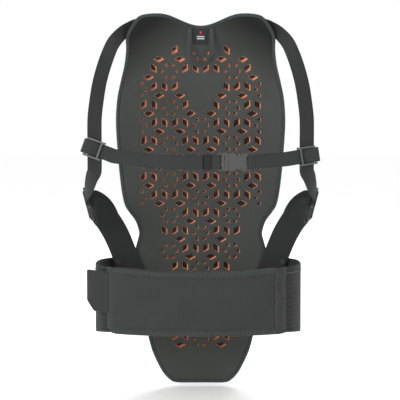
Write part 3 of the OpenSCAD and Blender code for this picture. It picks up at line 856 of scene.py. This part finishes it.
ADJUSTER_AT = np.array([-161.0, -94, 3])
ALONG = unit([0.08, 0.77, -0.63])
HINT = np.array([0.25, -0.62, -0.74])
ACROSS = unit(HINT - (HINT @ ALONG) * ALONG)
OUT = np.cross(ALONG, ACROSS)
ADJUSTER_LENGTH = 28
FIXED_BAR = ADJUSTER_LENGTH / 2 - 2.6


def adjuster_point(x, y, z):
    return tuple(ADJUSTER_AT + x * ACROSS + y * ALONG + z * OUT)


SHOULDER = [
    ((-38, 3.5, 246), (0.1, 0.31, -1)), ((-70, -4.8, 261), (0.1, 0.35, -1)),
    ((-93, -9.6, 260), (0.25, 0.35, -1)), ((-105, -13.2, 255), (0.4, 0.33, -0.9)),
    ((-116, -24, 247), (0.5, 0.25, -0.84)), ((-126, -52, 233), (0.75, 0.15, -0.6)),
    ((-132, -80, 216), (0.88, 0.1, -0.45)), ((-138, -107, 193), (0.96, 0, -0.25)),
    ((-142.5, -126, 170), (1, 0, -0.12)), ((-145.5, -140, 145), (1, 0, -0.06)),
    ((-147.1, -146.6, 127), (1, 0, -0.02)), *(((-147.5, -148, z), (1, 0, 0)) for z in (114, 98, 66, 57)),
    ((-148.2, -147, 49), (0.98, -0.12, -0.1)), ((-152, -141, 42), (0.85, -0.4, -0.35)),
    ((-157.5, -126, 27), (0.6, -0.6, -0.53)),
    *((adjuster_point(0, y, z), ACROSS) for y, z in (
        (-19.8, 0.2), (-14.9, 3.2), (-8.8, 3.6), (-2.6, 2.9), (0.9, 2.7), (2.2, 0), (1, -3.6), (-4, -4.4),
        (-16, -4.6))),
]
LOOP_R = 3.3


def loop_point(angle):
    a = math.radians(angle)
    return adjuster_point(0, FIXED_BAR - LOOP_R * math.sin(a), LOOP_R * math.cos(a))


SIDE = [(adjuster_point(0, FIXED_BAR + 10, -1.7), ACROSS), (adjuster_point(0, FIXED_BAR + 5.5, 0.6), ACROSS)]
SIDE += [(loop_point(a), ACROSS) for a in range(-18, 181, 33)]
SIDE += [
    (adjuster_point(0, FIXED_BAR + 4.5, -LOOP_R - 0.5), ACROSS),
    (adjuster_point(-1, FIXED_BAR + 10.5, -LOOP_R - 1.8), (0.15, -0.62, -0.74)),
    ((-152, -63, -10), (-0.3, -0.52, -0.72)), ((-145.5, -51, -15.5), (-0.6, -0.45, -0.65)),
    ((-136, -38.5, -28.5), (-0.75, -0.35, -0.56)), ((-124.5, -29.5, -50), (-0.82, -0.26, -0.51)),
    ((-115, -23.6, -74), (-0.84, -0.27, -0.47)), ((-106, -19.6, -98), (-0.9, -0.28, -0.35)),
    ((-98, -17.5, -120), (-0.93, -0.28, -0.25)),
]
ANCHOR = [((-26, 6.9, 240), (0.1, 0.3, -1)), ((-40, 5.3, 247), (0.1, 0.31, -1)),
          ((-66, -1.6, 259.5), (0.1, 0.34, -1))]
STRAP_T = 1.6


def side_flap(band, up):
    """Rings of the strap's folded-back end, which stands proud of its upper edge near the adjuster."""
    t = np.linspace(0, 1, 28)
    start, end = band.s_of(10.15), band.s_of(13.1)
    across = np.linspace(0, 1, 15)
    rings = []
    for s, proud in zip(start + (end - start) * t, 10.5 * (1 - t) ** 0.75 * (0.75 + 0.25 * smooth(t / 0.15))):
        a = -band.width / 2 - proud + (36 + proud) * across
        ripple = 0.25 * np.sin(s / 5 + a / 9)
        top, low = (band.at(np.full(len(a), s), a, up * (lift + ripple)) for lift in (2.2, 0.9))
        rings.append(np.concatenate([top, low[::-1]]))
    return np.array(rings)


for side in ("left", "right"):
    m = side == "right"
    strap = Band(SHOULDER, 20, STRAP_T, mirrored=m)
    up = -1 if m else 1
    obj = strap.mesh(f"shoulder_webbing_{side}", M["strap"])
    finish_piece(obj, None, [f"shoulder_strap_{side}", f"strap_end_{side}"])
    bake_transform(obj)
    lines = []
    for a in (-8.6, 8.6):
        start, end = (strap.s_of(3.2), a), (strap.s_of(13.9), a)
        lines += seam(lambda s, v, l: strap.at(s, v, up * l), start, end, 3.2)
    threads(f"shoulder_edge_stitches_{side}", lines, 0.22, M["thread"], "root")
    elastic_band = Band(SIDE, 38, STRAP_T, mirrored=m)
    obj = elastic_band.mesh(f"side_elastic_{side}", M["side"])
    finish_piece(obj, "root", [f"side_strap_{side}"])
    lines = []
    for u in (0.35, 0.8):
        s = elastic_band.s_of(u)
        lines += seam(lambda s, v, l: elastic_band.at(s, v, up * l), (s, -17), (s, 17), 2.6)
    for u in (12.2, 12.95):
        s = elastic_band.s_of(u)
        lines += seam(lambda s, v, l: elastic_band.at(s, v, up * (l + 2.4)), (s, -19), (s, 15), 2.6)
    threads(f"side_elastic_seam_{side}", lines, 0.24, M["grey_thread"], "root")
    rings = side_flap(elastic_band, up)
    obj = make(f"side_elastic_flap_{side}", rings.reshape(-1, 3), loft(rings), material=M["flap"])
    finish_piece(obj, "root")
    anchor = Band(ANCHOR, 26, STRAP_T, mirrored=m)
    obj = anchor.mesh(f"anchor_patch_{side}", M["keeper"], crown=0.4)
    finish_piece(obj, "root", [f"shoulder_anchor_{side}"])
    ends = anchor.s_of(0.25), anchor.s_of(1.85)
    lines = box_stitch(lambda s, v, l: anchor.at(s, v, -up * (l + 0.05)), *ends, 10.5)
    lines += box_stitch(lambda s, v, l: anchor.at(s, v, up * (l + 0.4)), *ends, 10.5)
    threads(f"anchor_stitches_{side}", lines, 0.3, M["pale_thread"], "root")

# Chest strap
CHEST_Y, CHEST_Z, CHEST_T, WEB = -163.85, 64, 1.3, 20
TAIL_Y = CHEST_Y + CHEST_T + 0.35
SLIDER_AT = {"left": np.array([-147.5, -148, 81.5]), "right": np.array([147.5, -148, 72])}
SLIDER_TILT = {"left": 20, "right": 9}
LOOP_PATH = [(29, -150.5), (20, -150.1), (9, -149.9), (4, -150.2), (-1, -151.2), (-6, -152.5), (-11, -152.7),
             (-15.5, -151.4), (-17, -148.9), (-15.6, -146.6), (-11, -145.6), (0, -145.4), (11, -145.5),
             (18, -146.6), (23, -148.2), (29, -148.8)]


def chest_loop(side):
    a, m = math.radians(SLIDER_TILT[side]), 1 if side == "left" else -1
    up = (m * math.sin(a), 0, math.cos(a))
    return [(tuple(SLIDER_AT[side] + (m * u * math.cos(a), y + 148, -u * math.sin(a))), up)
            for u, y in LOOP_PATH]


Z_UP = (0, 0, 1)
CHEST = {
    "left": [*(((x, CHEST_Y, CHEST_Z), Z_UP) for x in (3.5, -20, -46)), ((-66, -162.4, 65), Z_UP),
             ((-88, -158, 67.6), (0.07, 0, 1)), ((-106, -153.6, 69.8), (0.2, 0, 1))],
    "right": [*(((x, y, CHEST_Z), Z_UP) for x, y in (
                  (65.4, -158.6), (65.4, -161.6), (66.6, -163.5), (69, -164), (72.5, -163.2))),
              ((80, -161.2, 64.6), Z_UP), ((94, -157.5, 66), (-0.04, 0, 1)),
              ((107, -153.8, 66.6), (-0.1, 0, 1))],
}
for side in ("left", "right"):
    chest = Band(CHEST[side] + chest_loop(side), WEB, CHEST_T)
    obj = chest.mesh(f"chest_webbing_{side}", M["chest"])
    finish_piece(obj, "chest", [f"chest_strap_{side}"])
    first = len(CHEST[side])
    outer_side = 1 if chest.through[chest.u.searchsorted(first - 0.5)][1] < 0 else -1
    place = lambda s, v, l: chest.at(s, v, outer_side * (l + 0.02))
    lines = []
    for u in (first + 0.05, first + 0.75):
        lines += seam(place, (chest.s_of(u), -9), (chest.s_of(u), 9), 2.2)
    for a in (-9, 9):
        lines += seam(place, (chest.s_of(first + 0.05), a), (chest.s_of(first + 0.75), a), 2.2)
    for a in (-8.9, 8.9):
        lines += seam(place, (chest.s_of(0.3 if side == "left" else 4), a), (chest.s_of(first - 0.3), a), 3.0)
    threads(f"chest_stitches_{side}", lines, 0.22, M["thread"], "chest")

tail_path = [(-24, TAIL_Y), (0, TAIL_Y), (20, TAIL_Y), (25.4, TAIL_Y), (27.8, -160.4)]
tail = Band([((x, y, CHEST_Z), Z_UP) for x, y in tail_path], WEB, CHEST_T)
finish_piece(tail.mesh("chest_tail", M["chest"]), "plug", ["chest_strap_tail"])


def tube_box(x0, x1, y_range, z_range, bulge):
    """Elastic loop round two layers of webbing: a rounded rectangle of y and z, swept along x."""
    (y0, y1), (z0, z1) = y_range, z_range
    corners = [(y0, z0), (y1, z0), (y1, z1), (y0, z1)]
    ring = []
    for i, c in enumerate(corners):
        c, a, b = np.array(c), np.array(corners[i - 1]), np.array(corners[(i + 1) % 4])
        for t in (0, 0.5, 1):
            p, q = c + unit(a - c) * 0.9, c + unit(b - c) * 0.9
            ring.append((1 - t) ** 2 * p + 2 * t * (1 - t) * c + t * t * q)
    ring = np.array(ring)
    xs = np.linspace(x0, x1, 9)
    swell = 1 + bulge * np.cos(np.linspace(-np.pi / 2, np.pi / 2, 9))
    mid = ring.mean(0)
    rings = [np.stack([np.full(len(ring), xx), *(mid + (ring - mid) * k).T], -1) for xx, k in zip(xs, swell)]
    return np.array(rings)


KEEPER_T = 1.3
keeper_y = (CHEST_Y - CHEST_T / 2 - KEEPER_T, TAIL_Y + CHEST_T / 2 + KEEPER_T)
keeper_z = (CHEST_Z - WEB / 2 - KEEPER_T, CHEST_Z + WEB / 2 + KEEPER_T)
rings = tube_box(4.2, 13.2, keeper_y, keeper_z, 0.015)
obj = make("keeper_loop", rings.reshape(-1, 3), loft(rings, caps=False), material=M["keeper"])
finish_piece(obj, "plug", ["strap_keeper"])

# Neck label and hanging loop
LABEL_HALF, LABEL_LOW, LABEL_HIGH, LABEL_ROWS = 11.7, 231, 255, 16
gx, gz = np.meshgrid(np.linspace(-LABEL_HALF, LABEL_HALF, LABEL_ROWS),
                     np.linspace(LABEL_LOW, LABEL_HIGH, LABEL_ROWS))
gy = face_y(gx, gz) - 1.0 + 0.12 * np.sin(gx / 3) * np.sin(gz / 5)
border = np.minimum(np.minimum(gx + LABEL_HALF, LABEL_HALF - gx), np.minimum(gz - LABEL_LOW, LABEL_HIGH - gz))
gy = gy + 0.5 * np.exp(-border / 0.6)
obj = make("woven_label", np.stack([gx, gy, gz], -1).reshape(-1, 3), grid_faces(LABEL_ROWS, LABEL_ROWS),
           material=M["label"])
finish_piece(obj, "root", ["neck_label"])
place = lambda s, v, l: np.stack([s, face_y(s, v) - 1.0 - l, v], -1)
corners = [(-11, 231.8), (11, 231.8), (11, 254.2), (-11, 254.2)]
lines = []
for a, b in zip(corners, corners[1:] + corners[:1]):
    lines += seam(place, a, b, 2.2)
threads("label_stitches", lines, 0.2, M["grey_thread"], "root")

HANG_Y = float(face_y(np.array(16.0), np.array(256.0))) - 1.2
HANG = [((-16, HANG_Y, 256), (1, 0, 0)), ((-17, HANG_Y - 0.4, 236), (1, 0, 0)),
        ((-18.3, HANG_Y - 0.8, 217), (1, -0.3, 0)),
        ((-12, HANG_Y - 1.4, 204), (0.5, -1, 0.2)), ((0, HANG_Y - 2, 197), (0, -1, 0)),
        ((12, HANG_Y - 1.4, 204), (-0.5, -1, -0.2)), ((18.3, HANG_Y - 0.8, 217), (-1, -0.3, 0)),
        ((17, HANG_Y - 0.4, 236), (-1, 0, 0)), ((16, HANG_Y, 256), (-1, 0, 0))]
hang = Band(HANG, 6.5, 1.0)
finish_piece(hang.mesh("hanging_tape", M["hang"]), "hanger", ["hang_loop"])

# ---------- belt ----------

BELT_LOW, FRONT_HIGH, WING_LOW, WING_HIGH = -178, -88, -186, -85
BELT_CENTRE, BELT_HALF, BELT_POWER = (-3.5, -71.2), (148, 92), 0.8


def belt_point(angle, off):
    """Point of the belt's rounded oval: 0 degrees is behind the back, 90 at +x and 180 in front."""
    a = np.radians(angle)
    return tuple(centre + (half + off) * np.sign(v) * np.abs(v) ** BELT_POWER
                 for centre, half, v in zip(BELT_CENTRE, BELT_HALF, (np.sin(a), np.cos(a))))


def belt_lengths(angles, off):
    """Arc length along the belt up to each angle."""
    return arc_lengths(np.stack(belt_point(angles, off), -1))


def from_ends(rings, step):
    """Distance of each point of a slab from its nearer end, and the points themselves."""
    column = np.repeat(np.arange(len(rings)), rings.shape[1])
    return np.minimum(column, len(rings) - 1 - column) * step, rings.reshape(-1, 3)


def slab_ring(half_h, rows):
    """Rounded strip section as (share of height, share of thickness) with rows points on each face."""
    edge = 1.2
    v = np.linspace(-1, 1, rows)
    up = [(s * (1 - edge / half_h), 0.5) for s in v]
    down = [(s * (1 - edge / half_h), -0.5) for s in v[::-1]]
    return np.array(up + [(1 - 0.25 * edge / half_h, 0.28), (1, 0), (1 - 0.25 * edge / half_h, -0.28)] + down
                    + [(-1 + 0.25 * edge / half_h, -0.28), (-1, 0), (-1 + 0.25 * edge / half_h, 0.28)])


def belt_slab(name, a0, a1, off, thick, low, high, material, step, rows, shape=None, lift=None, taper=None):
    """Strip of the belt between two angles.

    shape gives its low and high edge at a point, lift moves it outward and taper scales its thickness."""
    fine = np.linspace(a0, a1, 400)
    arc = belt_lengths(fine, off)
    n = max(3, int(arc[-1] / step))
    angles = np.interp(np.linspace(0, arc[-1], n + 1), arc, fine)
    ring = slab_ring((high - low) / 2, rows)
    rings, uv = [], []
    for i, a in enumerate(angles):
        extra = lift(a) if lift else 0
        lo, hi = (low, high) if shape is None else shape(a, *belt_point(a, off + extra))
        z = (lo + hi) / 2 + ring[:, 0] * (hi - lo) / 2
        o = off + extra + (ring[:, 1] + 0.5) * thick * (taper(a) if taper else 1) - thick / 2
        px, py = belt_point(np.full(len(ring), a), o)
        rings.append(np.stack([px, py, z], -1))
        uv.append(np.stack([np.full(len(ring), arc[-1] * i / n * MM), z * MM], -1))
    rings = np.array(rings)
    uv = np.array(uv).reshape(-1, 2)
    return make(name, rings.reshape(-1, 3), loft(rings), uv, material=material), rings


def inflate(obj, pinned, pressure, cap, frames=18):
    """Swells a closed fabric slab with a short cloth simulation; pinned holds the points that stay."""
    before = np.array([v.co for v in obj.data.vertices])
    group = obj.vertex_groups.new(name="sewn")
    for i, w in enumerate(pinned):
        if w > 0.01:
            group.add([i], float(w), "REPLACE")
    cloth = obj.modifiers.new("swell", "CLOTH")
    cs = cloth.settings
    cs.quality, cs.mass, cs.use_pressure, cs.uniform_pressure_force = 6, 0.15, True, pressure
    cs.tension_stiffness = cs.compression_stiffness = 12
    cs.shear_stiffness, cs.bending_stiffness = 4, 0.6
    cs.vertex_group_mass, cs.pin_stiffness = "sewn", 1.0
    cs.effector_weights.gravity = 0
    cloth.collision_settings.use_collision = False
    cloth.point_cache.frame_start, cloth.point_cache.frame_end = 1, frames
    scene = bpy.context.scene
    for f in range(1, frames + 1):
        scene.frame_set(f)
    done = obj.evaluated_get(bpy.context.evaluated_depsgraph_get())
    after = np.array([v.co for v in done.data.vertices])
    obj.modifiers.remove(cloth)
    move = after - before
    size = np.linalg.norm(move, axis=1, keepdims=True)
    move = move * np.minimum(1, cap * MM / np.maximum(size, 1e-9))
    obj.data.vertices.foreach_set("co", (before + move).ravel())
    obj.data.update()
    scene.frame_set(1)


FRONT_FROM, FRONT_TO = 140.4, 233.0


def front_top(x):
    """Upper edge of the front panel, which rises to the wings' at both ends."""
    return FRONT_HIGH + 3 * smooth((np.abs(x) - 45) / 55)


def front_shape(a, x, y):
    cut = np.clip((a - (FRONT_TO - 5)) / 5, 0, 1) * 8
    return BELT_LOW + cut, float(front_top(x))


def front_taper(a):
    """Share of the thickness: the free end is pressed thin where the hook tab is sewn on."""
    return 1 - 0.55 * smooth((a - (FRONT_TO - 7)) / 7)


FRONT_STEP, FRONT_T = 2.6, 4.2
front_panel, rings = belt_slab("belt_front_pad", FRONT_FROM, FRONT_TO, 5.4, FRONT_T, BELT_LOW, FRONT_HIGH,
                               M["belt"], FRONT_STEP, 34, front_shape, taper=front_taper)
side_edge, co = from_ends(rings, FRONT_STEP)
border = np.minimum(np.minimum(co[:, 2] - BELT_LOW, front_top(co[:, 0]) - co[:, 2]), side_edge)
inflate(front_panel, np.where(border < 8.5, 1.0, 0.0), 1.6, 2.2)
finish_piece(front_panel, "belt_front", ["belt_front_panel"])


def on_front(s, z, lift):
    """Point over the outside of the front panel at arc length s; z > 0 is measured down from its top."""
    a = np.interp(s, FRONT_ARC, FRONT_ANGLES)
    px, py = belt_point(a, FRONT_FACE + lift - FRONT_T * (1 - front_taper(a)))
    z = np.asarray(z, float)
    return np.stack([px, py, np.where(z > -5, front_top(px) - z, z)], -1)


FRONT_FACE = 7.5
FRONT_ANGLES = np.linspace(FRONT_FROM, FRONT_TO, 300)
FRONT_ARC = belt_lengths(FRONT_ANGLES, FRONT_FACE)


def edge_loops(length, z_edge):
    """Overlock strokes along a belt edge: each runs in from the edge and wraps over it."""
    reach, pitch = 7.5, 2.85
    lines = []
    for k in range(int(length / pitch)):
        s = (k + 0.5) * pitch
        t = np.array([1.0, 0.75, 0.5, 0.25, 0.04])
        z = z_edge + reach * t * (1 + 0.12 * math.sin(k * 2.4))
        lift = np.array([0.0, 0.28, 0.3, 0.25, -0.6])
        lines.append(on_front(np.full(5, s) + 0.9 * t, z, lift))
        wrap = on_front(np.full(2, s), z_edge + np.array([-0.2, 0.6]), np.array([-2.6, -4.6]))
        lines[-1] = np.concatenate([lines[-1], wrap])
    return lines


long = FRONT_ARC[-1]
lines = edge_loops(long - 12, 0) + edge_loops(long - 14, BELT_LOW)
threads("belt_overlock", lines, 0.42, M["overlock"], "belt_front")
lines = seam(on_front, (2, 9.2), (long - 14, 9.2), 3.0)
lines += seam(on_front, (2, BELT_LOW + 8.6), (long - 16, BELT_LOW + 8.6), 3.0)
threads("belt_edge_seam", lines, 0.35, M["thread"], "belt_front")

# Back panel with sewn channels
BACK_STEP = 3.0
back_pad, rings = belt_slab("belt_back_pad", -36, 36, 1.0, 4.0, WING_LOW, WING_HIGH, M["belt_back"],
                            BACK_STEP, 34)
side_edge, co = from_ends(rings, BACK_STEP)
levels = np.linspace(WING_LOW, WING_HIGH, 5)
border = np.minimum(np.abs(co[:, 2:] - levels[None]).min(1), side_edge)
inflate(back_pad, np.where(border < 3.2, 1.0, 0.0), 1.6, 2.0)
finish_piece(back_pad, "root", ["belt_back_panel"])
BACK_ANGLES = np.linspace(-35, 35, 200)
BACK_ARC = belt_lengths(BACK_ANGLES, 3.1)


def on_belt_back(s, z, lift):
    px, py = belt_point(np.interp(s, BACK_ARC, BACK_ANGLES), 3.05 + lift)
    return np.stack([px, py, z], -1)


lines = []
for level in levels[1:-1]:
    lines += seam(on_belt_back, (3, level), (BACK_ARC[-1] - 3, level), 3.4)
threads("belt_back_seams", lines, 0.32, M["pale_thread"], "root")

# Elastic wings


def wing_wave(a):
    return 0.35 * math.sin(a * 0.11) + 0.2 * math.sin(a * 0.27)


def wing_shape(a, x, y):
    """The lower edge rises to the front panel's as the wing comes forward."""
    return WING_LOW + 10 * float(np.clip((-y - 72) / 78, 0, 1)), WING_HIGH


for name, a0, a1 in (("left", 216, 323.8), ("right", 36.2, 137)):
    obj, _ = belt_slab(f"wing_elastic_{name}", a0, a1, 0, 2.0, WING_LOW, WING_HIGH, M["wing"], 2.5, 24,
                       wing_shape, wing_wave)
    finish_piece(obj, "root", [f"belt_wing_{name}"])
    angles = np.linspace(a0, a1, 400)
    arc_w = belt_lengths(angles, 0)
    place = (lambda s, z, l, arc_w=arc_w, angles=angles:
             np.stack([*belt_point(np.interp(s, arc_w, angles), 1.35 + l), z], -1))
    end_s = arc_w[-1] - 6 if name == "left" else 6
    lines = seam(place, (end_s, BELT_LOW + 6), (end_s, WING_HIGH - 4), 3.0)
    lines += seam(place, (4, WING_HIGH - 9), (arc_w[-1] - 4, WING_HIGH - 9), 3.2)
    threads(f"wing_stitches_{name}", lines, 0.3, M["pale_thread"], "root")

# Ruched strip that joins the right wing to the front panel
z_rows = np.arange(BELT_LOW, WING_HIGH + 0.2, 0.45)
cols = np.linspace(128.3, 141.2, 22)
share = np.linspace(0, 1, 22)
crease = (0.75 * np.sin(2 * np.pi * z_rows / 2.45 + 0.8 * np.sin(z_rows / 7))[:, None]
          * np.sin(np.pi * np.clip(share * 1.02, 0, 1))[None] ** 0.5)
sway = 1.4 * np.sin(z_rows / 8.5)[:, None] * np.sin(np.pi * share)[None] * 0.5
base = 2.4 + 5.6 * smooth(share)[None] + 1.2 * np.sin(np.pi * share)[None]
angle = cols[None] + 0.35 * np.sin(z_rows / 6.2)[:, None] * np.ones_like(share)[None]
px, py = belt_point(angle, base + crease + sway)
gz = np.broadcast_to(z_rows[:, None], px.shape)
strip = make("belt_ruched_strip", np.stack([px, py, gz], -1).reshape(-1, 3), grid_faces(*px.shape),
             material=M["ruched"])
finish_piece(strip, None, ["belt_join_strip"])
start, end = (np.append(belt_point(a, 4), -133.5) * MM for a in (133.5, 140.2))
tuple(start)
tuple(end)
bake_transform(strip)

# Loop patch on the left wing and the hook tab over it
obj, _ = belt_slab("loop_tape_patch", 218, 252, 2.1, 0.9, BELT_LOW + 20, FRONT_HIGH - 6, M["loop"], 2.5, 14)
finish_piece(obj, "root", ["loop_patch"])


TAB_LOW, TAB_HIGH, TAB_OFF, TAB_T, TAB_STAND_OFF = -150, -91.5, 4.8, 2.4, 9.5


def tab_lift(a):
    """How far the tab's free end stands off the belt."""
    return TAB_STAND_OFF * max(0, (a - FRONT_TO) / (256 - FRONT_TO)) ** 1.6


def tab_shape(a, x, y):
    """Low and high edge of the tab, which narrows in two slopes towards its free end."""
    v = -float(y)
    if v > 118:
        low = TAB_LOW
    elif v > 104:
        low = TAB_LOW + 16 * (118 - v) / 14
    else:
        low = -134 + 40 * (104 - max(v, 96.6)) / 8
    high = TAB_HIGH if v > 110 else -94 + 2.5 * (max(v, 96) - 96) / 14
    return low, max(high, low + 2)


obj, _ = belt_slab("hook_tape_tab", FRONT_TO - 1.5, 255.6, TAB_OFF, TAB_T, TAB_LOW, TAB_HIGH, M["tab"],
                   1.5, 18, tab_shape, tab_lift)
finish_piece(obj, "belt_front", ["hook_tab"])
seam_at = FRONT_TO + 0.6
seam_off = TAB_OFF + TAB_T / 2 + tab_lift(seam_at) + np.array([0.02, 0.18, 0.18, 0.02])
lines = []
for z0 in -145 + 4.4 * np.arange(12):
    px, py = belt_point(np.full(4, seam_at), seam_off)
    lines.append(np.stack([px, py, np.linspace(z0, z0 + 3, 4)], -1))
threads("tab_stitches", lines, 0.32, M["grey_thread"], "belt_front")

# ---------- moulded parts, shown as CAD has them, with soft edges ----------


def mould(names, material, width):
    for name in names:
        obj = NODES[name]
        obj.data.materials.clear()
        obj.data.materials.append(material)
        weld = obj.modifiers.new("weld", "WELD")
        weld.merge_threshold = 1e-5
        bevel = obj.modifiers.new("edges", "BEVEL")
        bevel.width, bevel.segments = width * MM, 2
        bevel.limit_method, bevel.angle_limit = "ANGLE", 0.6
        obj.data.polygons.foreach_set("use_smooth", [True] * len(obj.data.polygons))
        obj.modifiers.new("normals", "WEIGHTED_NORMAL")


mould(["buckle_socket", "buckle_plug"], M["buckle"], 0.7)
mould(["buckle_latch_upper", "buckle_latch_lower"], M["slider"], 0.35)
mould(["chest_slider_left", "chest_slider_right"], M["slider"], 0.6)
mould(["side_adjuster_left", "side_adjuster_right"], M["adjuster"], 0.7)
mould(["strap_rivets"], M["adjuster"], 0.4)

# ---------- stage ----------

world = bpy.data.worlds.new("studio")
world.use_nodes = True
world.node_tree.nodes["Background"].inputs[0].default_value = (1, 1, 1, 1)
world.node_tree.nodes["Background"].inputs[1].default_value = 1.0
bpy.context.scene.world = world
bpy.context.scene.view_settings.view_transform = "Standard"

FLOOR_Z, FLOOR_HALF = -283, 9000
corners = [(x * FLOOR_HALF, y * FLOOR_HALF, FLOOR_Z) for x, y in ((-1, -1), (1, -1), (1, 1), (-1, 1))]
floor = make("floor", corners, [(0, 1, 2, 3)], flat=True)
paper = Shader("paper", 0.9, specular=0.1)
paper.bsdf.inputs["Base Color"].default_value = (0.985, 0.985, 0.985, 1)
floor.data.materials.append(paper.material)


def area_light(name, location, size, power):
    data = bpy.data.lights.new(name, "AREA")
    data.shape, data.size, data.energy = "DISK", size, power
    obj = bpy.data.objects.new(name, data)
    obj.location = location
    obj.rotation_euler = (Vector((0, -0.05, 0)) - obj.location).to_track_quat("-Z", "Y").to_euler()
    bpy.context.scene.collection.objects.link(obj)


area_light("key", (-1.7, -1.9, 0.7), 1.0, 34)
area_light("fill", (1.6, -1.6, 0.2), 1.6, 10)
area_light("low", (-0.4, -2.0, -0.15), 1.0, 8)
area_light("back", (0.6, 2.0, 1.4), 1.4, 30)

camera = bpy.data.objects.new("camera", bpy.data.cameras.new("camera"))
bpy.context.scene.collection.objects.link(camera)
camera.data.sensor_width, camera.data.lens = 36, 126
elevation, distance = math.radians(4), 2.1
aim = Vector((-0.0009, 0, 0))
back = Vector((0, -math.cos(elevation), math.sin(elevation)))
camera.location = aim + back * distance
camera.rotation_euler = (-back).to_track_quat("-Z", "Y").to_euler()
bpy.context.scene.camera = camera
